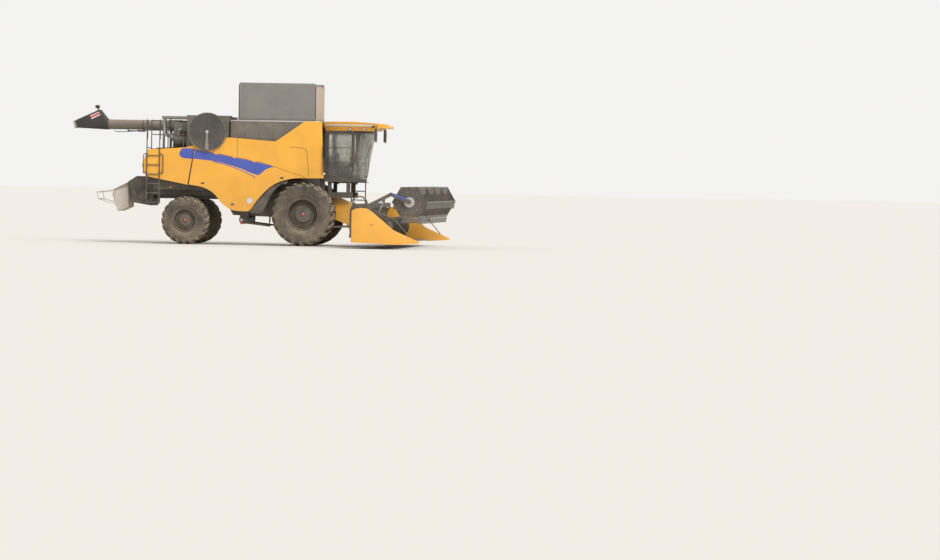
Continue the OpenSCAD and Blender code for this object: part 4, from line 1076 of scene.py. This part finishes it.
def spoutBody(thin, out):
    points, half = [], spoutForm["half"]
    for x in (-out / 4, -0.02):
        points += [(x, *onArc((0, 0), spoutForm["tube"] - thin, math.tau * k / 32)) for k in range(32)]
    for y in (thin - half, half - thin):
        for k in range(24):
            x, z = onArc(spoutForm["knuckle"], spoutForm["knuckleRadius"] - thin, math.tau * k / 24)
            points.append((x, y, z))
        for x, z in ((-1.086 - out, 0.11 - thin), (-1.02 - out, thin - 0.13), (-0.96, thin - 0.13),
                     (-0.90, 0.17 - thin)):
            points.append((x, y * (spoutForm["mouthHalf"] - thin) / (half - thin), z))
    item = edit(addOutline(points, "NOTHING"), bpy.ops.mesh.convex_hull)
    item.data.transform(Matrix.Translation(spotOf(*spoutForm["at"])))
    return item


spoutHull, hollow = spoutBody(0, 0), spoutBody(spoutForm["wall"], spoutForm["open"])
modified(spoutHull, "BOOLEAN", object=hollow, solver="EXACT")
bpy.data.objects.remove(hollow)
spoutHull = joined([bevelPiece(spoutHull, 0.004), addForm(spoutForm["lamp"])])
place(spoutHull, "spoutHull", "unloading_auger", "seamBlack", "black_plastic")
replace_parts(spoutHull, "unload_spout")

# Cab roof: cap rounded in plan over the frame
roofCap = {"cap": [(560, 3810), (560, 3970), (610, 4000), (1500, 4010), (2180, 3970), (2330, 3905), (2400, 3850),
                   (2345, 3810)],
           "plan": [(560, 968), (620, 1000), (2200, 1000), (2350, 940), (2420, 850)],
           "lower": [(600, 3712), (600, 3812), (2350, 3812), (2205, 3712)]}


def widthAt(x, plan):
    for (x0, y0), (x1, y1) in zip(plan, plan[1:]):
        if x <= x1:
            return y0 + (y1 - y0) * max(0, x - x0) / (x1 - x0)
    return plan[-1][1]


cap = addProfile(machine(roofCap["cap"]), -1.0, 1.0, 0)
for vertex in cap.data.vertices:
    vertex.co.y *= widthAt((vertex.co.x - axleX) * 1000, roofCap["plan"]) / 1000
lower = addProfile(machine(roofCap["lower"]), -0.94, 0.94, 0.01)
roof = place(joined([bevelPiece(cap, 0.016, 3), lower]), "cabRoof", "machine", "yellowPaint", "yellow_paint")
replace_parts(roof, "cab_roof")

# Steering wheel with three spokes, and the mirrors on their arms
steering = {"at": (1480, 0, 2850), "tilt": math.radians(-10), "rise": 0.012, "spokes": 3}
items = [addRings((0, 0, 0), (0, 0, 1), [(0.048, 0), (0.048, 0.03), (0.02, 0.034)], 24),
         addTorus(0.19, 0.014, (48, 10), (0, 0, steering["rise"]))]
for k in range(steering["spokes"]):
    items.append(addBar((0.04, 0, steering["rise"]), (0.185, 0, steering["rise"]), 0.011, 8))
    items[-1].data.transform(Matrix.Rotation(math.tau * k / steering["spokes"], 4, "Z"))
item = joined(items)
item.data.transform(Matrix.Translation(spotOf(*steering["at"])) @ Matrix.Rotation(steering["tilt"], 4, "Y"))
place(item, "steeringWheel", "machine", "blackPlastic", "black_plastic")
mirrorForm = {"twin": True, "edge": 6, "blocks": [((2110, 1000, 3815), (2190, 1020, 3895))],
              "rods": [((2150, 1012, 3850), (2300, 1500, 3850), 15),
                       ((2300, 1490, 3862), (2300, 1490, 3340), 15)],
              "plates": [([(2255, 3370), (2247, 3400), (2247, 3780), (2255, 3810), (2320, 3790), (2330, 3590),
                           (2320, 3390)], 1380, 1600)]}
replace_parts(place(addForm(mirrorForm), "mirrorHousings", "machine", "blackPlastic", "black_plastic"), "mirrors")

# Header: beams and ribs behind the table, and hydraulic lines in loops over its right-hand end
table = {"twin": True, "edge": 4, "blocks": [((1890, 0, 345), (1985, 5310, 430))], "plates": [
    ([(1971, 429), (1900, 429), (1900, 1200), (1971, 1390)], y, y + 12) for y in range(900, 5310, 1095)]}
place(addForm(table), "tableRibs", "header", "darkPaint", "dark_paint")
lines = {"path": [(2050, 1402), (1975, 1450), (1990, 1560), (2080, 1628), (2187, 1640), (2310, 1600),
                  (2395, 1500),
                  (2395, 1400), (2320, 1310), (2200, 1285), (2118, 1290)], "y": (-4990, -5050), "radius": 0.021}
loops = []
for y in lines["y"]:
    path = [Vector(p) for p in smoothLine([spotOf(x, y, z) for x, z in lines["path"]], 4)]
    loops.append(addPipe(path, lines["radius"], 3, 0))
    loops += [addBar(path[k], path[k] + (path[step] - path[k]).normalized() * 0.09, 0.027, 16, 0.003)
              for k, step in ((0, 2), (-1, -3))]
place(joined(loops), "headerLines", "header", "beltRubber", "rubber")

# Dividers, bulged outwards along their length, with the rods that part the crop
divider = {"outline": [(1960, 200), (1960, 1165), (2000, 1210), (2084, 1250), (2180, 1272), (2272, 1280),
                       (2380, 1276), (2460, 1257), (2560, 1205), (2700, 1095), (2860, 960), (3300, 600),
                       (4100, 250),
                       (4100, 200), (3400, 150)],
           "bulge": [(1940, 0), (1990, 54), (2350, 90), (3200, 90), (3900, 36), (4090, 0)],
           "rod": [(2420, -5345, 1250), (2540, -5350, 1268), (2850, -5350, 1130), (3312, -5350, 950),
                   (3800, -5345, 378)]}


def makeDivider():
    cuts = [cutAcross(0, x / 1000 + axleX) for x, _ in divider["bulge"][1:-1]]
    item = edit(addProfile(machine(divider["outline"]), -5.44, -5.31, 0), *cuts)
    for vertex in item.data.vertices:
        if vertex.co.y < -5.4:
            vertex.co.y = -5.352 - widthAt((vertex.co.x - axleX) * 1000, divider["bulge"]) / 1000
    return bevelPiece(item, 0.012, 3)


right = makeDivider()
ends = place(joined([right, mirrored(right)]), "dividers", "header", "yellowPaint", "yellow_paint", 25)
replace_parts(ends, "header_ends")
place(addForm({"twin": True, "pipes": [(divider["rod"], 15)]}), "dividerRods", "header", "darkPaint",
      "dark_paint")
rims = []
for y in (-5.126, 5.126):
    corners = []
    for k in range(6):
        x, z = onArc((5.5, 1.48), 0.463, math.tau * k / 6)
        corners.append((x, y, z))
    rims += [addBar(a, b, 0.011, 8) for a, b in zip(corners, corners[1:] + corners[:1])]
place(joined(rims), "shieldRims", "reel", "darkPaint", "dark_paint")
print("main forms completed")

# Driver's seat: cushions swollen in their covers, on a sprung base with armrests
seat = {"cushion": ((2.63, -0.235, 2.355), (3.10, 0.235, 2.455)),
        "back": ((2.585, -0.215, 2.47), (2.685, 0.215, 3.02)),
        "head": ((2.56, -0.12, 3.08), (2.63, 0.12, 3.22)), "voxel": 0.012, "pressure": 4.0, "cap": 0.016,
        "frames": 16,
        "base": [((2.72, -0.16, 2.112), (2.98, 0.16, 2.16), 0.01),
                 ((2.64, -0.22, 2.318), (3.06, 0.22, 2.352), 0.012),
                 ((2.60, -0.07, 3.0), (2.62, -0.05, 3.1), 0.004), ((2.60, 0.05, 3.0), (2.62, 0.07, 3.1), 0.004),
                 ((2.565, -0.20, 2.44), (2.588, 0.20, 2.99), 0.01),
                 ((2.60, -0.26, 2.60), (2.64, -0.23, 2.70), 0.008),
                 ((2.60, 0.23, 2.60), (2.64, 0.26, 2.70), 0.008)],
        "armrest": [(2.61, 2.645), (2.61, 2.70), (2.64, 2.712), (3.02, 2.692), (3.055, 2.672), (3.04, 2.648)],
        "seam": [(2.66, 2.4685), (2.80, 2.471), (2.95, 2.471), (3.07, 2.466)],
        "channel": [(2.6985, -0.19), (2.701, -0.08), (2.701, 0.08), (2.6985, 0.19)]}


def swell(item, cap):
    # Remeshed, blown up a little as cloth, and held within cap of where it was
    modified(item, "REMESH", mode="VOXEL", voxel_size=seat["voxel"])
    before = [vertex.co.copy() for vertex in item.data.vertices]
    cloth = item.modifiers.new("cover", "CLOTH")
    cloth.settings.use_pressure, cloth.settings.uniform_pressure_force = True, seat["pressure"]
    cloth.settings.effector_weights.gravity = 0
    cloth.point_cache.frame_start, cloth.point_cache.frame_end = 1, seat["frames"]
    for number in range(1, seat["frames"] + 1):
        bpy.context.scene.frame_set(number)
    applyModifiers(item)
    bpy.context.scene.frame_set(1)
    for vertex, start in zip(item.data.vertices, before):
        move = vertex.co - start
        if move.length > cap:
            vertex.co = start + move.normalized() * cap
    return modified(item, "SUBSURF", levels=1, render_levels=1)


def makeSeat():
    soft = [(part, swell(addBlock(*seat[part], 0.03, 3), seat["cap"])) for part in ("cushion", "back", "head")]
    for part, pad in soft:
        place(pad, "seat_" + part, "machine", "seatCloth", "seat_fabric", 60)
        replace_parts(pad, "cab_seat")
    # Piping along the cushion and the stitched channels across the back
    piping = [addPipe([(x, y, z) for x, z in seat["seam"]], 0.004, 4, 1) for y in (-0.10, 0.10)]
    piping += [addPipe([(x, y, z) for x, y in seat["channel"]], 0.004, 4, 1) for z in (2.62, 2.76, 2.90)]
    place(joined(piping), "seatPiping", "machine", "beltRubber", "seat_fabric")
    base = [addBlock(*block) for block in seat["base"]]
    for k in range(6):
        # Folds of the bellows over the spring
        z = 2.165 + 0.025 * k
        base.append(addBlock((2.74, -0.15, z), (2.96, 0.15, z + 0.019), 0.009))
    base += [addProfile(seat["armrest"], y, y + 0.06, 0.012, 3) for y in (-0.322, 0.262)]
    place(joined(base), "seatBase", "machine", "blackPlastic", "black_plastic")
    print("seat made")


makeSeat()

# Armrest console with its lever and screen
console = {"side": [(2.66, 2.40), (2.64, 2.60), (2.68, 2.632), (3.06, 2.62), (3.22, 2.70), (3.24, 2.66),
                    (3.12, 2.52),
                    (3.02, 2.40)],
           "grip": [(0.014, 0), (0.027, 0.02), (0.030, 0.05), (0.024, 0.085), (0.006, 0.10)],
           "tilt": (0, -0.2, 0)}
items = [addProfile(console["side"], -0.42, -0.335, 0.012, 3),
         addBlock((2.72, -0.41, 2.112), (2.80, -0.35, 2.41), 0.006),
         addBar((3.10, -0.378, 2.64), (3.13, -0.378, 2.76), 0.012, 12),
         addRings((3.125, -0.378, 2.75), (0.2, 0, 1), console["grip"], 20),
         addBar((3.22, -0.38, 2.68), (3.30, -0.40, 2.86), 0.012, 10),
         addBlock((3.285, -0.53, 2.82), (3.315, -0.27, 3.02), 0.008, 2, console["tilt"])]
place(joined(items), "armConsole", "machine", "blackPlastic", "black_plastic")
face = addBlock((3.268, -0.51, 2.84), (3.282, -0.29, 3.0), 0.003, 2, console["tilt"])
place(face, "screenFace", "machine", "screenGlass", "black_plastic")

# Window seals and grab rails on the right, door handle and its latch on the left, and the wiper
window = {"seal": [(2.452, 2.252, 3.228, 2.272), (2.452, 3.618, 3.228, 3.638), (2.452, 2.272, 2.472, 3.618),
                   (3.208, 2.272, 3.228, 3.618)],
          "rail": [(2.40, -0.955), (2.40, -0.985), (2.50, -1.0), (2.90, -1.0), (3.20, -1.0), (3.262, -0.985),
                   (3.262, -0.955)],
          "handle": [(0.946, 2.62), (0.985, 2.62), (0.99, 2.68), (0.99, 2.95), (0.985, 3.01), (0.946, 3.01)]}
trim = [addBlock((x0, -0.955, z0), (x1, -0.940, z1), 0.003) for x0, z0, x1, z1 in window["seal"]]
place(joined(trim), "windowSeal", "machine", "beltRubber", "black_plastic")
grabRails = [addPipe([(x, y, z) for x, y in window["rail"]], 0.011, 6, 2) for z in (3.17, 2.72)]
place(joined(grabRails), "windowRails", "machine", "darkPaint", "dark_paint")
handle = addPipe([(3.195, y, z) for y, z in window["handle"]], 0.011, 6, 2)
lock = addBlock((3.172, 0.944, 2.80), (3.216, 0.965, 2.86))
place(joined([handle, lock]), "doorHandle", "cab_door", "blackPlastic", "black_plastic")


def makeWiper(y0, y1, z0, z1):
    def onGlass(y, z):
        return touch(nodes["cab_glass"], (6, y, z), (-1, 0, 0))

    low, high, lift = onGlass(y0, z0), onGlass(y1, z1), Vector((0.035, 0, 0))
    arm = addPipe([low + lift, low.lerp(high, 0.3) + 2.2 * lift, low.lerp(high, 0.8) + 2.0 * lift,
                   high + 0.9 * lift],
                  0.007, 5, 1)
    blade = [onGlass(y1 + 0.03 * (k - 3), z1 - 0.32 + 0.107 * k) + Vector((0.012, 0, 0)) for k in range(7)]
    boss = addRings(low + Vector((0.004, 0, 0)), (1, 0, 0),
                    [(0.03, 0), (0.03, 0.02), (0.018, 0.034), (0.004, 0.036)],
                    20)
    return joined([arm, addPipe(blade, 0.008, 4, 1), boss])


place(makeWiper(-0.15, -0.42, 2.26, 2.95), "wiper", "machine", "beltRubber", "black_plastic")

# Mirror glasses in their housings
mirrorPane = addBlock((3.9905, -1.582, 3.403), (3.9955, -1.398, 3.777), 0.0015)
bothSides(mirrorPane, "mirrorGlass", fixedBodies, "mirrorGlass", "glass")

# Roof: pale band under the cap, drip rail, lamps on the sides, markers, and the visor in front
roofTrim = {"visor": [(4.00, 3.965), (4.16, 3.955), (4.28, 3.93), (4.37, 3.892), (4.405, 3.852), (4.40, 3.815),
                      (4.35, 3.798), (4.22, 3.80), (4.14, 3.815), (4.05, 3.84)], "visorFrom": 4.00,
            "lamps": (3.16, 3.60), "pod": [(0.02, -0.05), (0.040, -0.02), (0.050, 0.02), (0.050, 0.062),
                                           (0.044, 0.066), (0.042, 0.058)],
            "lens": [(0.042, 0.05), (0.042, 0.058), (0.027, 0.066), (0.005, 0.069)]}
band = addBlock((2.375, -1.004, 3.852), (3.93, -0.998, 3.93), 0.002)
bothSides(band, "roofBand", fixedBodies, "creamPanel", "pale_sheet")
drip = addBlock((2.36, -1.008, 3.806), (3.94, -0.985, 3.822), 0.005)
bothSides(drip, "roofDrip", fixedBodies, "yellowPaint", "yellow_paint")
visor = addProfile(roofTrim["visor"], -0.93, 0.93, 0.018, 3)
for vertex in visor.data.vertices:
    ahead = max(0.0, vertex.co.x - roofTrim["visorFrom"]) / 0.40
    vertex.co.y *= 1 - 0.24 * ahead ** 2
place(visor, "roofVisor", "machine", "yellowPaint", "yellow_paint")
pods, lenses = [], []
for x in roofTrim["lamps"]:
    pods += [addRings((x, -0.985, 3.765), outward, roofTrim["pod"], 28),
             addBlock((x - 0.012, -0.985, 3.765 + 0.055), (x + 0.012, -0.955, 3.765 + 0.075), 0.003)]
    lenses.append(addRings((x, -0.985, 3.765), outward, roofTrim["lens"], 28))
bothSides(joined(pods), "sideLamps", fixedBodies, "blackPlastic", "black_plastic")
bothSides(joined(lenses), "sideLampLenses", fixedBodies, "lampClear", "lamp_glass")
marker = addBlock((3.33, -1.03, 3.72), (3.45, -0.985, 3.79), 0.01, 3)
bothSides(marker, "roofMarker", fixedBodies, "lampAmber", "lamp_glass")
print("cab fitted out")

# Spout: blank marker plate with its band, rubber lip, lamp with its guard, and the hoses of its cylinder
spout = {"plate": [(-7404, 4092), (-7104, 4222), (-7058, 4120), (-7345, 3975)],
         "band": [(-7391, 4068), (-7096, 4199), (-7073, 4147), (-7363, 4009)],
         "mouth": [(-6.136, 1.44, 3.93), (-6.07, 1.44, 3.69), (-6.07, 1.74, 3.69), (-6.136, 1.74, 3.93)],
         "lip": 0.075, "wall": 0.008, "out": (-0.964, 0, -0.265), "lampY": (1.56, 1.62),
         "guard": [(-5.49, 4.34), (-5.508, 4.35), (-5.508, 4.43), (-5.49, 4.44)],
         "hoses": [[(-4.42, 1.575, 3.64), (-4.30, 1.575, 3.60), (-4.0, 1.57, 3.63), (-3.6, 1.57, 3.652),
                    (-2.9, 1.57, 3.652), (-2.2, 1.57, 3.652), (-1.2, 1.57, 3.652), (0.4, 1.57, 3.652),
                    (1.2, 1.57, 3.652), (1.5, 1.57, 3.655)],
                   [(-4.86, 1.605, 3.61), (-4.80, 1.61, 3.58), (-4.45, 1.61, 3.585), (-4.1, 1.61, 3.62),
                    (-3.6, 1.61, 3.653), (-2.9, 1.61, 3.653), (-1.2, 1.61, 3.653), (0.4, 1.61, 3.653),
                    (1.5, 1.61, 3.656)]]}


def layOn(outline, carrier, proud, thickness, cuts=4):
    # Flat sheet laid on the right-hand face of a piece
    low, high = min(z for _, z in outline), max(z for _, z in outline)
    return laySheet(outline, [low + k * (high - low) / cuts for k in range(1, cuts)],
                    lambda x, z: touch(carrier, (x, -8, z), (0, 1, 0)).y - proud, thickness)


plate = layOn(machine(spout["plate"]), spoutHull, 0.004, 0.004)
place(plate, "spoutPlate", "unloading_auger", "plateWhite", "pale_sheet")
band = layOn(machine(spout["band"]), spoutHull, 0.0075, 0.003)
place(band, "spoutPlateBand", "unloading_auger", "plateRed", "pale_sheet")


def makeLip():
    pick()
    bpy.ops.mesh.primitive_plane_add(size=1, location=(0, 0, 0))
    item = bpy.context.object
    for k, spot in zip((0, 1, 3, 2), spout["mouth"]):
        item.data.vertices[k].co = spot
    return edit(item, lambda: bpy.ops.mesh.inset(thickness=spout["wall"]) and bpy.ops.mesh.delete(type="FACE"),
                extrude(Vector(spout["out"]) * spout["lip"]), faceOut)


place(makeLip(), "spoutLip", "unloading_auger", "spoutLip", "rubber")
lampGlass = addBlock((-5.489, 1.532, 4.349), (-5.479, 1.648, 4.431))
place(lampGlass, "spoutLampLens", "unloading_auger", "lampClear", "lamp_glass")
guard = [addPipe([(x, y, z) for x, z in spout["guard"]], 0.004, 4, 1) for y in spout["lampY"]]
place(joined(guard), "spoutLampGuard", "unloading_auger", "bareSteel", "bare_steel")
hoses = [addPipe(path, 0.011, 6, 2) for path in spout["hoses"]]
place(joined(hoses), "spoutHoses", "unloading_auger", "beltRubber", "rubber")
clamps = []
for x in (-3.9, -3.2, -1.6, -0.6, 0.3, 1.1):
    clamps += [addRings((x, 1.59, 3.82), (1, 0, 0), [(0.1605, -0.02), (0.165, -0.018), (0.165, 0.018),
                                                     (0.1605, 0.02)], 40),
               addBlock((x - 0.02, 1.55, 3.636), (x + 0.02, 1.63, 3.662))]
place(joined(clamps), "tubeClamps", "unloading_auger", "darkPaint", "dark_paint")
flangeBolts = []
for x in (1.515, -0.565, -2.625):
    bolt = addBar((x + 0.004, 1.59, 3.982), (x + 0.016, 1.59, 3.982), 0.009, 6, 0.001)
    flangeBolts.append(copyAround(bolt, (x, 1.59, 3.82), (1, 0, 0), 12, 15))
place(joined(flangeBolts), "flangeBolts", "unloading_auger", "bareSteel", "bare_steel")

# Engine under its hood: rocker covers, ports and their manifold, filters, hoses with their bands
engine = {"ports": 6, "pitch": 0.175, "hoses": [
    ([(-2.37, -1.02, 3.42), (-2.36, -0.90, 3.60), (-2.36, -0.80, 3.66), (-2.36, -0.72, 3.66)], 0.05, 3),
    ([(-1.30, -0.50, 3.70), (-1.10, -0.58, 3.70), (-0.95, -0.66, 3.68), (-0.85, -0.69, 3.66)], 0.04, 3),
    ([(-1.22, 0.30, 3.35), (-1.05, 0.10, 3.30), (-0.95, -0.40, 3.30), (-0.90, -0.69, 3.30)], 0.035, 3),
    ([(-2.20, -0.56, 3.22), (-2.25, -0.70, 3.16), (-2.50, -0.80, 3.08), (-2.80, -0.85, 3.06), (-3.1, -0.9, 3.06)],
     0.018, 2)],
          "bands": [((-2.36, -0.735, 3.66), (0, 1, 0)), ((-2.362, -0.86, 3.63), (0, 1, 0.3)),
                    ((-0.87, -0.685, 3.665), (-1, 0.3, 0.1)), ((-0.905, -0.66, 3.30), (0.1, 1, 0))]}
items = [addBlock((-2.45, y, 3.905), (-1.35, y + 0.32, 3.965), 0.02, 3) for y in (-0.42, 0.10)]
for k in range(engine["ports"]):
    x = -2.36 + engine["pitch"] * k
    items += [addBar((x, -0.552, 3.70), (x, -0.62, 3.66), 0.035, 14, 0.004),
              addBar((x, 0.552, 3.70), (x, 0.60, 3.66), 0.035, 14, 0.004)]
items.append(addBar((-2.42, -0.63, 3.64), (-1.42, -0.63, 3.64), 0.045, 16, 0.006))
items += [addRings((x, -0.555, 3.36), outward, [(0.055, 0), (0.055, 0.02), (0.050, 0.025), (0.050, 0.17),
                                                (0.02, 0.19)], 24) for x in (-2.30, -2.05)]
place(joined(items), "engineParts", "machine", "engineGrey", "dark_paint")
hoses = [addPipe(path, radius, 6, sides) for path, radius, sides in engine["hoses"]]
place(joined(hoses), "engineHoses", "machine", "beltRubber", "rubber")
bands = [addRings(spot, way, [(0.051, -0.008), (0.054, -0.006), (0.054, 0.006), (0.051, 0.008)], 28)
         for spot, way in engine["bands"]]
place(joined(bands), "hoseBands", "machine", "cleanSteel", "bare_steel")
shield = addRings((-2.59, 0.78, 3.44), (1, 0, 0), [(0.134, -0.24), (0.139, -0.235), (0.139, 0.235),
                                                   (0.134, 0.24)], 40)
place(shield, "silencerShield", "machine", "bareSteel", "bare_steel")

# Tread plates on the deck and platform, and grip strips on the steps
treads = {"deck": [(-3.17, -1.44, -2.70, 1.34), (-2.70, -1.44, -2.10, -0.72)], "deckZ": 3.0405,
          "platform": [(2.33, 0.975, 3.48, 1.66)], "platformZ": 2.0705, "thick": 0.004}


def addTreads(part):
    z = treads[part + "Z"]
    return joined([addBlock((x0, y0, z), (x1, y1, z + treads["thick"]), 0.001, 1) for x0, y0, x1,
                   y1 in treads[part]])


place(addTreads("deck"), "deckTread", "machine", "treadPlate", "dark_paint")
place(addTreads("platform"), "platformTread", "machine", "treadPlate", "dark_paint")
grips = [addBlock((x - 0.03, -1.603, z + 0.0125), (x + 0.03, -1.577, z + 0.0155), 0.001, 1)
         for z in [1.32 + 0.3 * k for k in range(6)] for x in (-3.29, -3.20, -3.11, -3.02, -2.93)]
grips += [addBlock((2.98, y - 0.005, z + 0.0305), (3.37, y + 0.005, z + 0.034), 0.001, 1)
          for z in [0.6 + 0.29 * k for k in range(5)] for y in (1.615, 1.64, 1.665, 1.69)]
place(joined(grips), "stepGrips", "machine", "bareSteel", "bare_steel")

# Tail lamps' lenses, blank plate and the chopper's bolts
tailLamps = {"turn": (0, math.atan(-0.353), 0), "from": -1.405,
             "lenses": [(0.03, 0.075, "lampRed"), (0.105, 0.05, "lampAmber"), (0.155, 0.05, "lampClear")],
             "bolts": [(-3.26, 1.95), (-3.26, 1.62), (-3.30, 1.40), (-3.62, 1.35), (-3.80, 1.62), (-3.92, 1.90),
                       (-3.75, 2.05), (-3.40, 2.08)]}
for start, width, finish in tailLamps["lenses"]:
    y = tailLamps["from"] + start
    lens = addBlock((-3.4462, y, 2.255), (-3.4382, y + width - 0.006, 2.395), 0.003, 2, tailLamps["turn"])
    bothSides(lens, "tailLamp_" + finish, fixedBodies, finish, "lamp_glass")
number = addBlock((-3.3905, -0.26, 2.20), (-3.3845, 0.26, 2.31), 0.003, 2, tailLamps["turn"])
place(number, "blankPlate", "machine", "plateWhite", "pale_sheet")
chopperBolts = sideStuds(tailLamps["bolts"], -0.748, -0.760, 0.011)
bothSides(chopperBolts, "chopperBolts", fixedBodies, "bareSteel", "bare_steel")
print("deck, spout and tail fitted")

# Reel: sprung wire tines on its six bats, clamps at the spiders, and the end shields' bolts and hub plates
reel = {"axis": (5.5, 1.48), "radius": 0.52, "bats": 6, "pitch": 0.15, "count": 66, "wire": 0.0042,
        "coil": 0.024, "leg": [(0.026, 0.012, -0.01), (0.022, 0.013, -0.08), (0.008, 0.013, -0.16),
                               (-0.012, 0.013, -0.225)],
        "clamps": (-5.095, -2.56, 0.0, 2.56, 5.095), "hub": [(0.16, -0.002), (0.16, 0.008), (0.12, 0.016),
                                                             (0.055, 0.018)]}
reelX, reelZ = reel["axis"]
bats = [onArc(reel["axis"], reel["radius"], math.tau * k / reel["bats"]) for k in range(reel["bats"])]


def makeTine():
    # Coil round the bat, then the leg that curves down and back
    coil = []
    for k in range(13):
        x, z = onArc((0, 0), reel["coil"], math.tau * (0.25 + 2.0 * k / 12))
        coil.append((x, 0.002 * k - 0.012, z))
    return addPipe(coil + reel["leg"], reel["wire"], 2, 0)


tines = inRow(makeTine(), reel["count"] + 1, (0, reel["pitch"], 0))
tines = copyTo(tines, [(x, -reel["pitch"] * reel["count"] / 2, z) for x, z in bats])
place(tines, "reelTines", "reel", "tineSteel", "bare_steel", 60)
clamps = [addBlock((x - 0.028, y - 0.018, z - 0.028), (x + 0.028, y + 0.018, z + 0.028), 0.008)
          for x, z in bats for y in reel["clamps"]]
shieldBolts = []
for side in (-1, 1):
    bolt = sideStuds([(reelX + 0.33, reelZ)], side * 5.119, side * 5.142, 0.011)
    shieldBolts += [copyAround(bolt, (reelX, 0, reelZ), aboutAxle, 12, 15),
                    addRings((reelX, side * 5.12, reelZ), (0, side, 0), reel["hub"], 32)]
place(joined(clamps), "batClamps", "reel", "darkPaint", "dark_paint")
place(joined(shieldBolts), "shieldBolts", "reel", "bareSteel", "bare_steel")

# Knife guards along the cutter bar
guards = {"pitch": 0.0762, "count": 139}
finger = addBar((5.055, 0, 0.176), (5.150, 0, 0.178), 0.011, 8, 0, 0.25)
foot = addBlock((4.995, -0.014, 0.172), (5.065, 0.014, 0.184), 0.003, 1)
guard = inRow(joined([finger, foot]), guards["count"], (0, guards["pitch"], 0))
guard.data.transform(Matrix.Translation((0, -guards["pitch"] * (guards["count"] - 1) / 2, 0)))
place(guard, "knifeGuards", "header", "bareSteel", "bare_steel")

# Reel arms: hydraulic hoses along their inner faces, clips, and the blue cover strip on the right
arms = {"path": [(4.17, 1.36), (4.30, 1.44), (4.60, 1.58), (4.90, 1.73), (5.05, 1.70), (5.25, 1.62),
                 (5.42, 1.56)],
        "clipped": slice(1, 4), "strip": [(4.98, 1.735), (5.12, 1.69), (5.27, 1.628), (5.42, 1.555)],
        "stripWidth": 0.05, "face": 5.2605}
hoses = [addPipe([(x, -5.188, z - drop) for x, z in path], 0.0085, 6, 2)
         for path, drop in ((arms["path"], 0), (arms["path"][:4], 0.024))]
clips = [addBlock((x - 0.015, -5.199, z - 0.04), (x + 0.015, -5.178, z + 0.016), 0.003)
         for x, z in arms["path"][arms["clipped"]]]
bothSides(joined(hoses), "armHoses", armBodies, "beltRubber", "rubber")
bothSides(joined(clips), "armClips", armBodies, "bareSteel", "bare_steel")
strip = addSheet(ribbon(arms["strip"], arms["stripWidth"]), 0.004, 0.0, lambda height: arms["face"], 0.2)
place(strip, "armStrip", "reel_arms", "stripeBlue", "yellow_paint")

# Dividers' bolt and reflector, and the feeder house's bolts
bothSides(sideStuds([(3.76, 0.35)], -5.348, -5.360, 0.012), "dividerBolts", headerBodies, "bareSteel",
          "bare_steel")
lens = addBlock((4.30, -5.452, 0.74), (4.42, -5.4405, 0.79))
bothSides(lens, "dividerReflector", headerBodies, "lampAmber", "lamp_glass")
feeder = {"start": (2.45, 1.02), "run": (1.05, -0.40), "pairs": 7, "upper": (0.16, 0.46)}
spots = []
for k in range(feeder["pairs"]):
    x, z = (start + run * k / (feeder["pairs"] - 1) for start, run in zip(feeder["start"], feeder["run"]))
    spots += [(x, z), (x + feeder["upper"][0], z + feeder["upper"][1])]
bothSides(sideStuds(spots, -0.639, -0.650, 0.011), "feederBolts", headerBodies, "bareSteel", "bare_steel")
print("header dressed")
